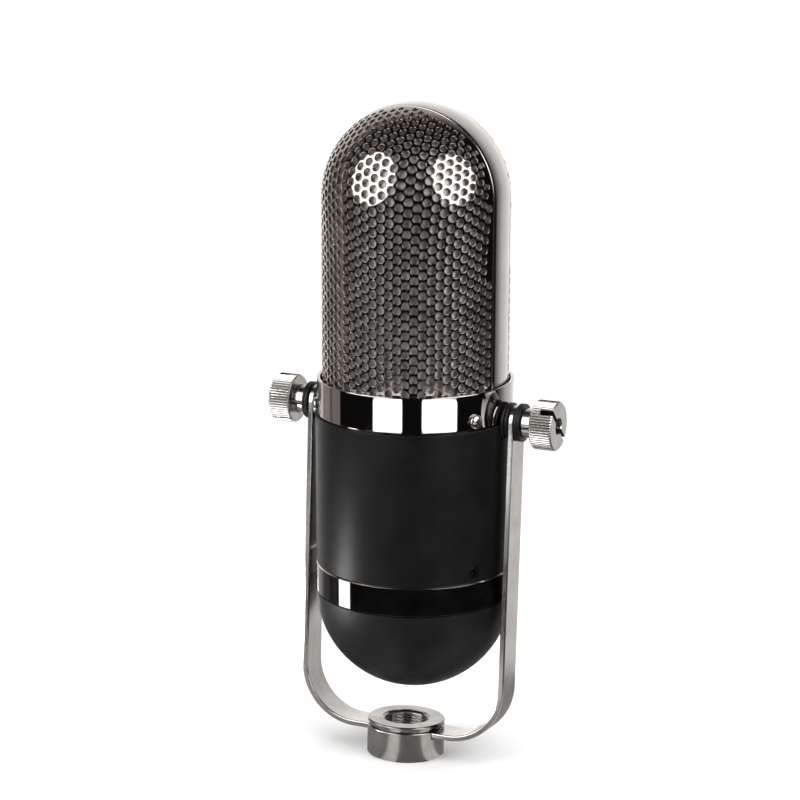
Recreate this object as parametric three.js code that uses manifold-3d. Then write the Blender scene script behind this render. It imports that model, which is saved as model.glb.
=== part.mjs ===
// Side-address ribbon microphone in a stand yoke.
// Units are millimetres, +Z up. The origin is the centre of the yoke hub's bottom face.
// +X points to the right-hand clamp knob and the front of the microphone faces -Y.
import * as THREE from 'three';
import { mergeVertices } from 'three/addons/utils/BufferGeometryUtils.js';
import Module from 'manifold-3d';

const wasm = await Module();
wasm.setup();

// ---------- Driving dimensions ----------
const GAP = 0.3; // between pieces that rest on each other
const SEAT_GAP = 0.15; // between the stacked clamp pieces

// Yoke and hub
const PIVOT_HEIGHT = 118.4;
const LEAN_DEG = 3.4; // the microphone's top leans towards its front
const STRIP_WIDTH = 11;
const STRIP_THICKNESS = 1.95;
const YOKE_HALF_SPAN = 37.15; // to the outside of an arm
const YOKE_BEND_RADIUS = 19.8; // outside of the lower corners
const STRIP_BOTTOM = 7.85;
const YOKE_EYE_RADIUS = 11.6; // round eye of the strip inside the hub
const HUB_RADIUS = 13.1;
const HUB_HEIGHT = 12.35;
const HUB_BODY_HEIGHT = 10.1;
const FLANGE_THICKNESS = 1.3;
const SLEEVE_RADIUS = 9.4;
const THREAD_MINOR_RADIUS = 7.45; // 5/8 inch - 27 stand thread
const THREAD_MOUTH_RADIUS = 8.1;

// Clamp stacks, measured along X from the microphone's centre
const STUD_RADIUS = 2.5;
const STUD_HOLE_RADIUS = 2.65;
const STUD_INNER_X = 22;
const STUD_OUTER_X = 48.4;
const STUD_HEAD_RADIUS = 4.5;
const STUD_HEAD_END_X = 26.8;
const WASHER_RADIUS = 6.3;
const INNER_WASHER_THICKNESS = 3;
const OUTER_WASHER_THICKNESS = 2.0;
const KNOB_NECK_RADIUS = 4.9;
const KNOB_NECK_LENGTH = 3.9;
const KNOB_RADIUS = 8.15;
const KNOB_LENGTH = 7.6;
const KNOB_TEETH = 54;
const KNURL_DEPTH = 0.3;
const COIN_SLOT_WIDTH = 1.6;
const COIN_SLOT_DEPTH = 4.4;
const RIGHT_SLOT_ANGLE = 45;
const LEFT_SLOT_ANGLE = 90;

// Microphone casing, heights measured from the pivot axis
const RING_RADIUS = 32.8;
const RING_TOP = 12.1;
const RING_LIP = 1.2;
const SPIGOT_RADIUS = 31.2;
const SPIGOT_INNER_RADIUS = 27.5;
const SPIGOT_BOTTOM = -9;
const SHELF_HEIGHT = 2;
const SHELL_TOP_RADIUS = 33.3;
const SHELL_BOTTOM_RADIUS = 33.05;
const SHELL_INNER_RADIUS = 31.5;
const SHELL_BOTTOM = -51.3;
const BAND_RADIUS = 33.1;
const BAND_BOTTOM = -61.4;
const BAND_INNER_RADIUS = 28.8;
const SHELL_SPIGOT_HEIGHT = 7;
const CAP_SPIGOT_RADIUS = 30.2;
const CAP_SPIGOT_HEIGHT = 3.4;
const CAP_RADIUS = 33.05;
const CAP_WALL = 2;

// Grille
const GRILLE_RADIUS = 31.2;
const GRILLE_WALL = 0.9;
const GRILLE_BOTTOM = SHELF_HEIGHT + GAP;
const DOME_CENTRE = 72.2;
const ARCH_HALF_WIDTH = 6.8;
const ARCH_WALL = 1.4;
const SCREEN_RADIUS = 29.4;
const SCREEN_WALL = 0.4;
const SCREEN_BOTTOM = 5;

// Fasteners
const SCREW_ANGLES = [60, 180, 300]; // from the front, towards +X
const RING_SCREW_HEIGHT = 2.9;
const RING_SCREW_HEAD_RADIUS = 2.4;
const RING_SCREW_SHANK_RADIUS = 1.2;
const RING_SCREW_TIP = 29.7; // from the microphone's axis
const RING_SCREW_SEAT = RING_RADIUS + 0.1;
const RING_SCREW_CROWN = 1.5;
const SHELL_SCREW_HEIGHT = -48;
const SHELL_SCREW_HEAD_RADIUS = 1.9;
const SHELL_SCREW_SHANK_RADIUS = 1;
const SHELL_SCREW_TIP = 29;
const SHELL_SCREW_FACE = SHELL_BOTTOM_RADIUS - 0.1;
const SHELL_SCREW_SINK = 1.1;
const CROSS_HALF_WIDTH = 0.35;

// Ribbon motor
const MOTOR_CENTRE = 51;
const MOTOR_HALF_WIDTH = 21;
const MOTOR_HALF_HEIGHT = 37;
const MOTOR_DEPTH = 18;
const WINDOW_HALF_WIDTH = 18;
const WINDOW_HALF_HEIGHT = 31;
const MAGNET_WIDTH = 8;
const MAGNET_DEPTH = 14;
const MAGNET_HEIGHT = 54;
const POLE_TIP_X = 2.9;
const POLE_TIP_DEPTH = 4;
const RIBBON_WIDTH = 4.7;
const RIBBON_THICKNESS = 0.15;
const RIBBON_PITCH = 2.5;
const RIBBON_WAVE = 0.45;
const CLAMP_HEIGHT = 3;
const CLAMP_HALF_WIDTH = 8;
const CLAMP_HALF_DEPTH = 3.5;
const PEDESTAL_HALF_WIDTH = 16;
const PEDESTAL_HALF_DEPTH = 7;
const PEDESTAL_BOTTOM = -1.2;
const SHOCK_MOUNT_RADIUS = 3.2;
const SHOCK_MOUNT_X = 11;

// Chassis, transformer and output socket
const PLATE_BOSS_TOP = -5.7;
const PLATE_FLANGE_TOP = SPIGOT_BOTTOM - GAP;
const PLATE_BOTTOM = PLATE_FLANGE_TOP - 2;
const TRANSFORMER_Y = -13;
const TRANSFORMER_Z = -29;
const CORE_HALF_WIDTH = 14;
const CORE_HALF_HEIGHT = 12;
const CORE_DEPTH = 10;
const LEG_HALF_WIDTH = 4;
const CORE_WINDOW_X = 10;
const CORE_WINDOW_Z = 8;
const COIL_OVERHANG = 4;
const STRAP_WALL = 1.2;
const STRAP_FOOT = 5;
const STRAP_WIDTH = 8;
const SOCKET_HEIGHT = -28;
const SOCKET_RADIUS = 11.2;
const SOCKET_INNER_RADIUS = 9.6;
const SOCKET_MOUTH_Y = 35.2;
const SOCKET_BACK_Y = 12.5;
const SOCKET_FLANGE_RADIUS = 14;
const INSERT_FRONT_Y = 19.6;
const INSERT_BACK_Y = 14.1;
const PIN_RADIUS = 1.2;
const PIN_CIRCLE = 3.9;
const PIN_TIP_Y = 30.6;
const PIN_TAIL_Y = 9;
const PIN_ANGLES = [30, 150, 270];

// Wires
const WIRE_RADIUS = 0.5;
const LEAD_BEHIND = MOTOR_DEPTH / 2 + 1.5; // the leads run down behind the motor
const LEAD_TURN = (PEDESTAL_BOTTOM + PLATE_BOSS_TOP) / 2;
const LEAD_END = PLATE_BOTTOM - 1.5;

// Facets
const CASE_FACETS = 40;
const HUB_FACETS = 32;
const ROUND_FACETS = 24;
const SMALL_FACETS = 12;
const DOME_STEPS = 8;
const DOME_INNER_STEPS = 5;

// ---------- Finishes ----------
const finish = (color, roughness, metalness) =>
  new THREE.MeshStandardMaterial({ color, roughness, metalness });
const blackNickel = finish(0x2b2827, 0.18, 1);
const brightNickel = finish(0xc9c5c0, 0.22, 1);
const brushedSteel = finish(0xa09c98, 0.35, 1);
const satinBlack = finish(0x141414, 0.45, 0.1);
const glossBlack = finish(0x060606, 0.08, 0.1);
const matteBlack = finish(0x1a1a1a, 0.75, 0.05);
const blackRubber = finish(0x101010, 0.85, 0);
const wovenSteel = finish(0x8a8885, 0.5, 0.9);
const softIron = finish(0x6f6c69, 0.5, 0.9);
const magnetGrey = finish(0x4b4a4c, 0.4, 0.8);
const aluminiumLeaf = finish(0xdcdcdc, 0.3, 1);
const brass = finish(0xb38b46, 0.35, 1);
const copperWire = finish(0x9a4f26, 0.4, 0.9);
const blackPlastic = finish(0x161616, 0.5, 0);

// ---------- Solid helpers ----------
const WELD = 1e-4;
const RAD = Math.PI / 180;

// Keeps positions only, shares the vertices along seams and drops collapsed triangles.
function welded(geometry) {
  const bare = new THREE.BufferGeometry();
  bare.setAttribute('position', geometry.getAttribute('position'));
  bare.setIndex(geometry.getIndex());
  const result = mergeVertices(bare, WELD);
  const corners = result.getIndex().array;
  const triangles = [];
  for (let i = 0; i < corners.length; i += 3) {
    const [a, b, c] = [corners[i], corners[i + 1], corners[i + 2]];
    if (a !== b && b !== c && c !== a) triangles.push(a, b, c);
  }
  return result.setIndex(triangles);
}

function solidOf(geometry) {
  return new wasm.Manifold(new wasm.Mesh({
    numProp: 3,
    vertProperties: Float32Array.from(geometry.getAttribute('position').array),
    triVerts: Uint32Array.from(geometry.getIndex().array),
  }));
}

function geometryOf(solid) {
  const mesh = solid.getMesh();
  const geometry = new THREE.BufferGeometry();
  geometry.setAttribute('position', new THREE.BufferAttribute(mesh.vertProperties, 3));
  geometry.setIndex(new THREE.BufferAttribute(mesh.triVerts, 1));
  geometry.computeVertexNormals();
  return geometry;
}

function joined(solids) {
  return solids.reduce((sum, solid) => sum.add(solid));
}

function without(solid, cutters) {
  return cutters.reduce((rest, cutter) => rest.subtract(cutter), solid);
}

// A profile of [radius, height] points, in either order, turned about the Y axis. The facets
// start half a step round, so that holes on the main axes fall in the middle of a facet.
function turnedY(profile, facets) {
  const outline = profile.map(([radius, height]) => new THREE.Vector2(radius, height));
  const ordered = THREE.ShapeUtils.area(outline) > 0 ? outline : outline.reverse();
  ordered.push(ordered[0].clone());
  return welded(new THREE.LatheGeometry(ordered, facets, Math.PI / facets));
}

const turnedZ = (profile, facets) => turnedY(profile, facets).rotateX(Math.PI / 2);
const turnedX = (profile, facets) => turnedY(profile, facets).rotateZ(-Math.PI / 2);

function box(low, high) {
  const size = high.map((value, i) => value - low[i]);
  const centre = high.map((value, i) => (value + low[i]) / 2);
  return welded(new THREE.BoxGeometry(...size)).translate(...centre);
}

function outlineShape(points) {
  return new THREE.Shape(points.map(([x, y]) => new THREE.Vector2(x, y)));
}

// A shape drawn in XY, extruded upwards along Z from z0 to z1.
function extrudedZ(shape, z0, z1) {
  const settings = { depth: z1 - z0, bevelEnabled: false, curveSegments: SMALL_FACETS };
  return welded(new THREE.ExtrudeGeometry(shape, settings)).translate(0, 0, z0);
}

// A shape drawn in XZ, extruded along Y and centred on y = 0.
function extrudedY(shape, depth) {
  return extrudedZ(shape, -depth / 2, depth / 2).rotateX(Math.PI / 2);
}

const rodZ = (radius, z0, z1, facets) =>
  turnedZ([[0, z0], [radius, z0], [radius, z1], [0, z1]], facets);
const rodX = (radius, x0, x1, facets) =>
  turnedX([[0, x0], [radius, x0], [radius, x1], [0, x1]], facets);
const rodY = (radius, y0, y1, facets) =>
  turnedY([[0, y0], [radius, y0], [radius, y1], [0, y1]], facets);

// Points on an arc of a profile, angles in degrees from the radius axis.
function arc(radius, centreHeight, fromDeg, toDeg, steps) {
  return Array.from({ length: steps + 1 }, (_, i) => {
    const angle = (fromDeg + ((toDeg - fromDeg) * i) / steps) * RAD;
    return [radius * Math.cos(angle), centreHeight + radius * Math.sin(angle)];
  });
}

// Turns a solid that points out along +X to a bearing measured from the front (-Y).
const atBearing = (geometry, bearing) => geometry.rotateZ((bearing - 90) * RAD);

function mesh(name, shape, material) {
  const geometry = shape.isBufferGeometry ? geometryOf(solidOf(shape)) : geometryOf(shape);
  const result = new THREE.Mesh(geometry, material);
  result.name = name;
  return result;
}

// ---------- Yoke and hub ----------
// The bent strip: two arms with round, drilled ends, and a round eye that sits in the hub.
function yokeStrip() {
  const outer = YOKE_HALF_SPAN;
  const inner = outer - STRIP_THICKNESS;
  const bend = outer - YOKE_BEND_RADIUS;
  const bendHeight = STRIP_BOTTOM + YOKE_BEND_RADIUS;
  const innerBendRadius = YOKE_BEND_RADIUS - STRIP_THICKNESS;
  const outline = new THREE.Shape();
  outline.moveTo(-outer, PIVOT_HEIGHT);
  outline.lineTo(-outer, bendHeight);
  outline.absarc(-bend, bendHeight, YOKE_BEND_RADIUS, Math.PI, Math.PI * 1.5, false);
  outline.absarc(bend, bendHeight, YOKE_BEND_RADIUS, Math.PI * 1.5, Math.PI * 2, false);
  outline.lineTo(outer, PIVOT_HEIGHT);
  outline.lineTo(inner, PIVOT_HEIGHT);
  outline.absarc(bend, bendHeight, innerBendRadius, Math.PI * 2, Math.PI * 1.5, true);
  outline.absarc(-bend, bendHeight, innerBendRadius, Math.PI * 1.5, Math.PI, true);
  outline.lineTo(-inner, PIVOT_HEIGHT);
  const strip = solidOf(extrudedY(outline, STRIP_WIDTH));
  const eyeTop = STRIP_BOTTOM + STRIP_THICKNESS;
  const eye = solidOf(rodZ(YOKE_EYE_RADIUS, STRIP_BOTTOM, eyeTop, HUB_FACETS));
  const ends = [-1, 1].map((side) => {
    const [x0, x1] = side < 0 ? [-outer, -inner] : [inner, outer];
    return solidOf(rodX(STRIP_WIDTH / 2, x0, x1, ROUND_FACETS).translate(0, 0, PIVOT_HEIGHT));
  });
  const sleeveHole = solidOf(rodZ(SLEEVE_RADIUS + GAP, 0, HUB_HEIGHT, HUB_FACETS));
  const pivotHoles = solidOf(
    rodX(STUD_HOLE_RADIUS, -outer - 1, outer + 1, ROUND_FACETS).translate(0, 0, PIVOT_HEIGHT),
  );
  return without(joined([strip, eye, ...ends]), [sleeveHole, pivotHoles]);
}

// The hub's outer body, with a counterbore for the eye and notches for the strip.
function hubBody() {
  const chamfer = 0.5;
  const recess = STRIP_BOTTOM - GAP;
  const bore = SLEEVE_RADIUS + GAP;
  const recessRadius = YOKE_EYE_RADIUS + GAP;
  const body = solidOf(turnedZ([
    [bore, 0], [HUB_RADIUS - chamfer, 0], [HUB_RADIUS, chamfer],
    [HUB_RADIUS, HUB_BODY_HEIGHT], [recessRadius, HUB_BODY_HEIGHT],
    [recessRadius, recess], [bore, recess],
  ], HUB_FACETS));
  const notchHalf = STRIP_WIDTH / 2 + GAP;
  const reach = HUB_RADIUS + 1;
  const notch = solidOf(box([-reach, -notchHalf, recess], [reach, notchHalf, HUB_HEIGHT]));
  return body.subtract(notch);
}

// A thin ring between the hub's body and the flange of the threaded bush.
function hubWasher() {
  const bottom = HUB_BODY_HEIGHT + SEAT_GAP;
  const top = HUB_HEIGHT - FLANGE_THICKNESS - SEAT_GAP;
  const bore = SLEEVE_RADIUS + GAP;
  const radius = HUB_RADIUS - 0.9;
  return turnedZ([[bore, bottom], [radius, bottom], [radius, top], [bore, top]], HUB_FACETS);
}

// The flanged bush that clamps the strip and takes the stand's thread.
function threadedBush() {
  const chamfer = THREAD_MOUTH_RADIUS - THREAD_MINOR_RADIUS;
  const rim = 0.3;
  const flangeBottom = HUB_HEIGHT - FLANGE_THICKNESS;
  return turnedZ([
    [THREAD_MOUTH_RADIUS, 0], [SLEEVE_RADIUS, 0], [SLEEVE_RADIUS, flangeBottom],
    [HUB_RADIUS, flangeBottom], [HUB_RADIUS, HUB_HEIGHT - rim], [HUB_RADIUS - rim, HUB_HEIGHT],
    [THREAD_MOUTH_RADIUS, HUB_HEIGHT], [THREAD_MINOR_RADIUS, HUB_HEIGHT - chamfer],
    [THREAD_MINOR_RADIUS, chamfer],
  ], HUB_FACETS);
}

function yokeGroup() {
  const group = new THREE.Group();
  group.add(mesh('yoke', yokeStrip(), brightNickel));
  group.add(mesh('hub_body', hubBody(), brushedSteel));
  group.add(mesh('hub_washer', hubWasher(), blackNickel));
  group.add(mesh('threaded_bush', threadedBush(), brushedSteel));
  return group;
}

// ---------- Clamp stacks ----------
const INNER_WASHER_FACE = YOKE_HALF_SPAN - STRIP_THICKNESS - SEAT_GAP;
const OUTER_WASHER_START = YOKE_HALF_SPAN + SEAT_GAP;
const OUTER_WASHER_END = OUTER_WASHER_START + OUTER_WASHER_THICKNESS;
const KNOB_START = OUTER_WASHER_END + SEAT_GAP;
const KNOB_FACE = KNOB_START + KNOB_NECK_LENGTH;
const KNOB_END = KNOB_FACE + KNOB_LENGTH;

// A headed stud through the ring's spigot; its thread carries the knob.
function pivotStud() {
  const tip = 0.5;
  return turnedX([
    [0, STUD_INNER_X], [STUD_HEAD_RADIUS, STUD_INNER_X], [STUD_HEAD_RADIUS, STUD_HEAD_END_X],
    [STUD_RADIUS, STUD_HEAD_END_X], [STUD_RADIUS, STUD_OUTER_X - tip],
    [STUD_RADIUS - tip, STUD_OUTER_X], [0, STUD_OUTER_X],
  ], ROUND_FACETS);
}

// Rubber washer with a groove round its edge, its inner face hollowed to fit the casing.
function innerWasher() {
  const start = INNER_WASHER_FACE - INNER_WASHER_THICKNESS;
  const groove = 0.7;
  const edge = INNER_WASHER_FACE - 0.9;
  const rubber = solidOf(turnedX([
    [STUD_HOLE_RADIUS, start], [WASHER_RADIUS, start], [WASHER_RADIUS, edge - 0.5],
    [WASHER_RADIUS - groove, edge - 0.2], [WASHER_RADIUS - groove, edge],
    [WASHER_RADIUS, edge + 0.25], [WASHER_RADIUS, INNER_WASHER_FACE - 0.3],
    [WASHER_RADIUS - 0.3, INNER_WASHER_FACE], [STUD_HOLE_RADIUS, INNER_WASHER_FACE],
  ], ROUND_FACETS));
  const reach = 2 * WASHER_RADIUS;
  const casing = solidOf(rodZ(SHELL_TOP_RADIUS + GAP, -reach, reach, CASE_FACETS));
  return rubber.subtract(casing);
}

function outerWasher() {
  const round = 0.5;
  return turnedX([
    [STUD_HOLE_RADIUS, OUTER_WASHER_START], [WASHER_RADIUS - round, OUTER_WASHER_START],
    [WASHER_RADIUS, OUTER_WASHER_START + round], [WASHER_RADIUS, OUTER_WASHER_END - round],
    [WASHER_RADIUS - round, OUTER_WASHER_END], [STUD_HOLE_RADIUS, OUTER_WASHER_END],
  ], ROUND_FACETS);
}

// Straight-knurled knob on a plain neck, with a coin slot across its outer face.
function clampKnob(slotAngle) {
  const chamfer = 0.5;
  const teeth = Array.from({ length: KNOB_TEETH * 2 }, (_, i) => {
    const radius = KNOB_RADIUS - (i % 2 ? KNURL_DEPTH : 0);
    const angle = (i * Math.PI) / KNOB_TEETH;
    return [radius * Math.cos(angle), radius * Math.sin(angle)];
  });
  const knurl = solidOf(extrudedZ(outlineShape(teeth), KNOB_FACE, KNOB_END).rotateY(Math.PI / 2));
  const envelope = solidOf(turnedX([
    [0, KNOB_START], [KNOB_NECK_RADIUS, KNOB_START], [KNOB_NECK_RADIUS, KNOB_FACE],
    [KNOB_RADIUS - chamfer, KNOB_FACE], [KNOB_RADIUS + GAP, KNOB_FACE + chamfer + GAP],
    [KNOB_RADIUS + GAP, KNOB_END - chamfer - GAP], [KNOB_RADIUS - chamfer, KNOB_END],
    [0, KNOB_END],
  ], HUB_FACETS));
  const neck = solidOf(rodX(KNOB_NECK_RADIUS, KNOB_START, KNOB_FACE + 1, HUB_FACETS));
  const bore = solidOf(rodX(STUD_HOLE_RADIUS, KNOB_START - 1, KNOB_END + 1, ROUND_FACETS));
  const halfSlot = COIN_SLOT_WIDTH / 2;
  const reach = KNOB_RADIUS + 1;
  const slot = solidOf(
    box([KNOB_END - COIN_SLOT_DEPTH, -reach, -halfSlot], [KNOB_END + 1, reach, halfSlot])
      .rotateX(-slotAngle * RAD),
  );
  return without(knurl.intersect(envelope).add(neck), [bore, slot]);
}

function clampStack(side, slotAngle) {
  const group = new THREE.Group();
  const pieces = [
    ['pivot_stud', pivotStud(), brightNickel],
    ['inner_washer', innerWasher(), blackRubber],
    ['outer_washer', outerWasher(), blackRubber],
    ['clamp_knob', clampKnob(slotAngle), brightNickel],
  ];
  for (const [name, shape, material] of pieces) {
    group.add(mesh(`${name}_${side}`, shape, material));
  }
  if (side === 'left') group.rotation.z = Math.PI;
  return group;
}

// ---------- Casing ----------
// Holes for the two studs, half in the ring and half in the shell.
const studHoles = () => solidOf(
  rodX(STUD_HOLE_RADIUS + SEAT_GAP, -SHELL_TOP_RADIUS - 2, SHELL_TOP_RADIUS + 2, ROUND_FACETS),
);

function screwHoles(radius, height, innermost) {
  return SCREW_ANGLES.map((bearing) => solidOf(
    atBearing(rodX(radius, innermost, RING_RADIUS + 2, SMALL_FACETS), bearing)
      .translate(0, 0, height),
  ));
}

// Polished ring round the foot of the grille, with a spigot that holds the studs.
function collarRing() {
  const edge = 0.3;
  const inner = RING_RADIUS - RING_LIP;
  const ring = solidOf(turnedZ([
    [SPIGOT_INNER_RADIUS, SPIGOT_BOTTOM], [SPIGOT_RADIUS, SPIGOT_BOTTOM],
    [SPIGOT_RADIUS, SEAT_GAP], [RING_RADIUS - edge, SEAT_GAP],
    [RING_RADIUS, SEAT_GAP + edge], [RING_RADIUS, RING_TOP - edge],
    [RING_RADIUS - edge, RING_TOP], [inner + edge, RING_TOP], [inner, RING_TOP - edge],
    [inner, SHELF_HEIGHT], [SPIGOT_INNER_RADIUS, SHELF_HEIGHT],
  ], CASE_FACETS));
  const screwHole = RING_SCREW_SHANK_RADIUS + GAP;
  const holes = screwHoles(screwHole, RING_SCREW_HEIGHT, SPIGOT_INNER_RADIUS);
  return without(ring, [studHoles(), ...holes]);
}

// Slightly tapered black tube from the ring down to the gloss band.
function bodyShell() {
  const edge = 0.3;
  const top = -SEAT_GAP;
  const shell = solidOf(turnedZ([
    [SHELL_INNER_RADIUS, SHELL_BOTTOM], [SHELL_BOTTOM_RADIUS - edge, SHELL_BOTTOM],
    [SHELL_BOTTOM_RADIUS, SHELL_BOTTOM + edge], [SHELL_TOP_RADIUS, top - edge],
    [SHELL_TOP_RADIUS - edge, top], [SHELL_INNER_RADIUS, top],
  ], CASE_FACETS));
  const socketHole = solidOf(
    rodY(SOCKET_RADIUS + GAP, 0, SOCKET_MOUTH_Y, ROUND_FACETS).translate(0, 0, SOCKET_HEIGHT),
  );
  const sinks = SCREW_ANGLES.map((bearing) => solidOf(
    atBearing(shellScrewBlank(GAP), bearing).translate(0, 0, SHELL_SCREW_HEIGHT),
  ));
  return without(shell, [studHoles(), socketHole, ...sinks]);
}

// Gloss band with spigots that locate the shell above it and the cap below it.
function lowerBand() {
  const edge = 0.35;
  const top = SHELL_BOTTOM - SEAT_GAP;
  const lowest = BAND_BOTTOM - CAP_SPIGOT_HEIGHT;
  const highest = top + SHELL_SPIGOT_HEIGHT;
  const band = solidOf(turnedZ([
    [BAND_INNER_RADIUS, lowest], [CAP_SPIGOT_RADIUS, lowest], [CAP_SPIGOT_RADIUS, BAND_BOTTOM],
    [BAND_RADIUS - edge, BAND_BOTTOM], [BAND_RADIUS, BAND_BOTTOM + edge],
    [BAND_RADIUS, top - edge], [BAND_RADIUS - edge, top], [SPIGOT_RADIUS, top],
    [SPIGOT_RADIUS, highest], [BAND_INNER_RADIUS, highest],
  ], CASE_FACETS));
  const hole = SHELL_SCREW_SHANK_RADIUS + GAP;
  return without(band, screwHoles(hole, SHELL_SCREW_HEIGHT, BAND_INNER_RADIUS - 1));
}

// Hollow hemisphere that closes the bottom of the casing.
function bottomCap() {
  const centre = BAND_BOTTOM - SEAT_GAP;
  return turnedZ([
    ...arc(CAP_RADIUS, centre, 0, -90, DOME_STEPS),
    ...arc(CAP_RADIUS - CAP_WALL, centre, -90, 0, DOME_INNER_STEPS),
  ], CASE_FACETS);
}

// Pan-head screw that points out along +X and lies across the ring's wall.
function ringScrewBlank() {
  const seat = RING_SCREW_SEAT;
  const crown = RING_SCREW_CROWN;
  const half = RING_SCREW_HEAD_RADIUS;
  return turnedX([
    [0, RING_SCREW_TIP], [RING_SCREW_SHANK_RADIUS, RING_SCREW_TIP],
    [RING_SCREW_SHANK_RADIUS, seat], [half, seat], [half, seat + crown * 0.4],
    [half * 0.8, seat + crown * 0.85], [half * 0.4, seat + crown], [0, seat + crown],
  ], SMALL_FACETS);
}

// Countersunk screw that points out along +X, grown by margin where it cuts its own seat.
function shellScrewBlank(margin) {
  const face = SHELL_SCREW_FACE;
  const head = SHELL_SCREW_HEAD_RADIUS + margin;
  const shank = SHELL_SCREW_SHANK_RADIUS + margin;
  const neck = face - SHELL_SCREW_SINK - margin;
  const aboveFace = margin > 0 ? [[head, face + 2 * margin], [0, face + 2 * margin]] : [[0, face]];
  return turnedX([
    [0, SHELL_SCREW_TIP], [shank, SHELL_SCREW_TIP], [shank, neck], [head, face], ...aboveFace,
  ], SMALL_FACETS);
}

// A cross recess sunk into a screw head whose crown is at x.
function crossRecess(x, depth, half) {
  const width = CROSS_HALF_WIDTH;
  return [
    solidOf(box([x - depth, -half, -width], [x + 1, half, width])),
    solidOf(box([x - depth, -width, -half], [x + 1, width, half])),
  ];
}

// One copy of a screw that points along +X at each screw bearing.
function roundTheCase(name, screw, height, material) {
  return SCREW_ANGLES.map((bearing, i) => {
    const copy = atBearing(geometryOf(screw), bearing).translate(0, 0, height);
    return mesh(`${name}_${i + 1}`, copy, material);
  });
}

function ringScrews() {
  const crown = RING_SCREW_SEAT + RING_SCREW_CROWN;
  const screw = without(solidOf(ringScrewBlank()), crossRecess(crown, 0.9, 1.3));
  return roundTheCase('ring_screw', screw, RING_SCREW_HEIGHT, brightNickel);
}

function shellScrews() {
  const screw = without(solidOf(shellScrewBlank(0)), crossRecess(SHELL_SCREW_FACE, 0.7, 1));
  return roundTheCase('shell_screw', screw, SHELL_SCREW_HEIGHT, satinBlack);
}

// ---------- Grille ----------
// Thin wall in the shape of a tube with a hemispherical top.
function capsule(radius, wall, bottom, facets) {
  return turnedZ([
    [radius, bottom], ...arc(radius, DOME_CENTRE, 0, 90, DOME_STEPS),
    ...arc(radius - wall, DOME_CENTRE, 90, 0, DOME_INNER_STEPS), [radius - wall, bottom],
  ], facets);
}

// Half of the grille on the front (-1) or rear (+1) side of the arch.
function grilleHalf(side) {
  const reach = GRILLE_RADIUS + 1;
  const edge = ARCH_HALF_WIDTH + GAP;
  const [y0, y1] = side < 0 ? [-reach, -edge] : [edge, reach];
  const keep = solidOf(box([-reach, y0, 0], [reach, y1, DOME_CENTRE + reach]));
  const wall = solidOf(capsule(GRILLE_RADIUS, GRILLE_WALL, GRILLE_BOTTOM, CASE_FACETS));
  const screwHole = RING_SCREW_SHANK_RADIUS + GAP;
  const holes = screwHoles(screwHole, RING_SCREW_HEIGHT, SPIGOT_INNER_RADIUS);
  return without(wall.intersect(keep), holes);
}

// Smooth strip between the halves: up one side, over the dome and down the other.
function grilleArch() {
  const across = 6;
  const side = (radius) => Array.from({ length: across + 1 }, (_, i) => {
    const y = ARCH_HALF_WIDTH * ((2 * i) / across - 1);
    return [Math.sqrt(radius ** 2 - y ** 2), y];
  });
  const section = [...side(GRILLE_RADIUS), ...side(GRILLE_RADIUS - ARCH_WALL).reverse()];
  const reach = GRILLE_RADIUS + 1;
  const above = solidOf(box([-reach, -reach, 0], [reach, reach, reach]));
  const crown = solidOf(turnedY(section, CASE_FACETS)).intersect(above);
  const leg = () => extrudedZ(outlineShape(section), GRILLE_BOTTOM - DOME_CENTRE, 0);
  const arch = joined([crown, solidOf(leg()), solidOf(leg().rotateZ(Math.PI))]);
  return solidOf(geometryOf(arch).translate(0, 0, DOME_CENTRE)).subtract(studHoles());
}

// ---------- Ribbon motor ----------
function motorFrame() {
  const outline = outlineShape([
    [-MOTOR_HALF_WIDTH, -MOTOR_HALF_HEIGHT], [MOTOR_HALF_WIDTH, -MOTOR_HALF_HEIGHT],
    [MOTOR_HALF_WIDTH, MOTOR_HALF_HEIGHT], [-MOTOR_HALF_WIDTH, MOTOR_HALF_HEIGHT],
  ]);
  outline.holes.push(outlineShape([
    [-WINDOW_HALF_WIDTH, -WINDOW_HALF_HEIGHT], [WINDOW_HALF_WIDTH, -WINDOW_HALF_HEIGHT],
    [WINDOW_HALF_WIDTH, WINDOW_HALF_HEIGHT], [-WINDOW_HALF_WIDTH, WINDOW_HALF_HEIGHT],
  ]));
  return extrudedY(outline, MOTOR_DEPTH).translate(0, 0, MOTOR_CENTRE);
}

function magnet(side) {
  const outer = WINDOW_HALF_WIDTH - GAP;
  const xs = [side * outer, side * (outer - MAGNET_WIDTH)].sort((a, b) => a - b);
  return box(
    [xs[0], -MAGNET_DEPTH / 2, MOTOR_CENTRE - MAGNET_HEIGHT / 2],
    [xs[1], MAGNET_DEPTH / 2, MOTOR_CENTRE + MAGNET_HEIGHT / 2],
  );
}

// Soft-iron pole that narrows towards the ribbon's edge.
function polePiece(side) {
  const root = side * (WINDOW_HALF_WIDTH - 2 * GAP - MAGNET_WIDTH);
  const tip = side * POLE_TIP_X;
  const z0 = MOTOR_CENTRE - MAGNET_HEIGHT / 2;
  return extrudedZ(outlineShape([
    [root, -MAGNET_DEPTH / 2], [tip, -POLE_TIP_DEPTH / 2],
    [tip, POLE_TIP_DEPTH / 2], [root, MAGNET_DEPTH / 2],
  ]), z0, z0 + MAGNET_HEIGHT);
}

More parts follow.
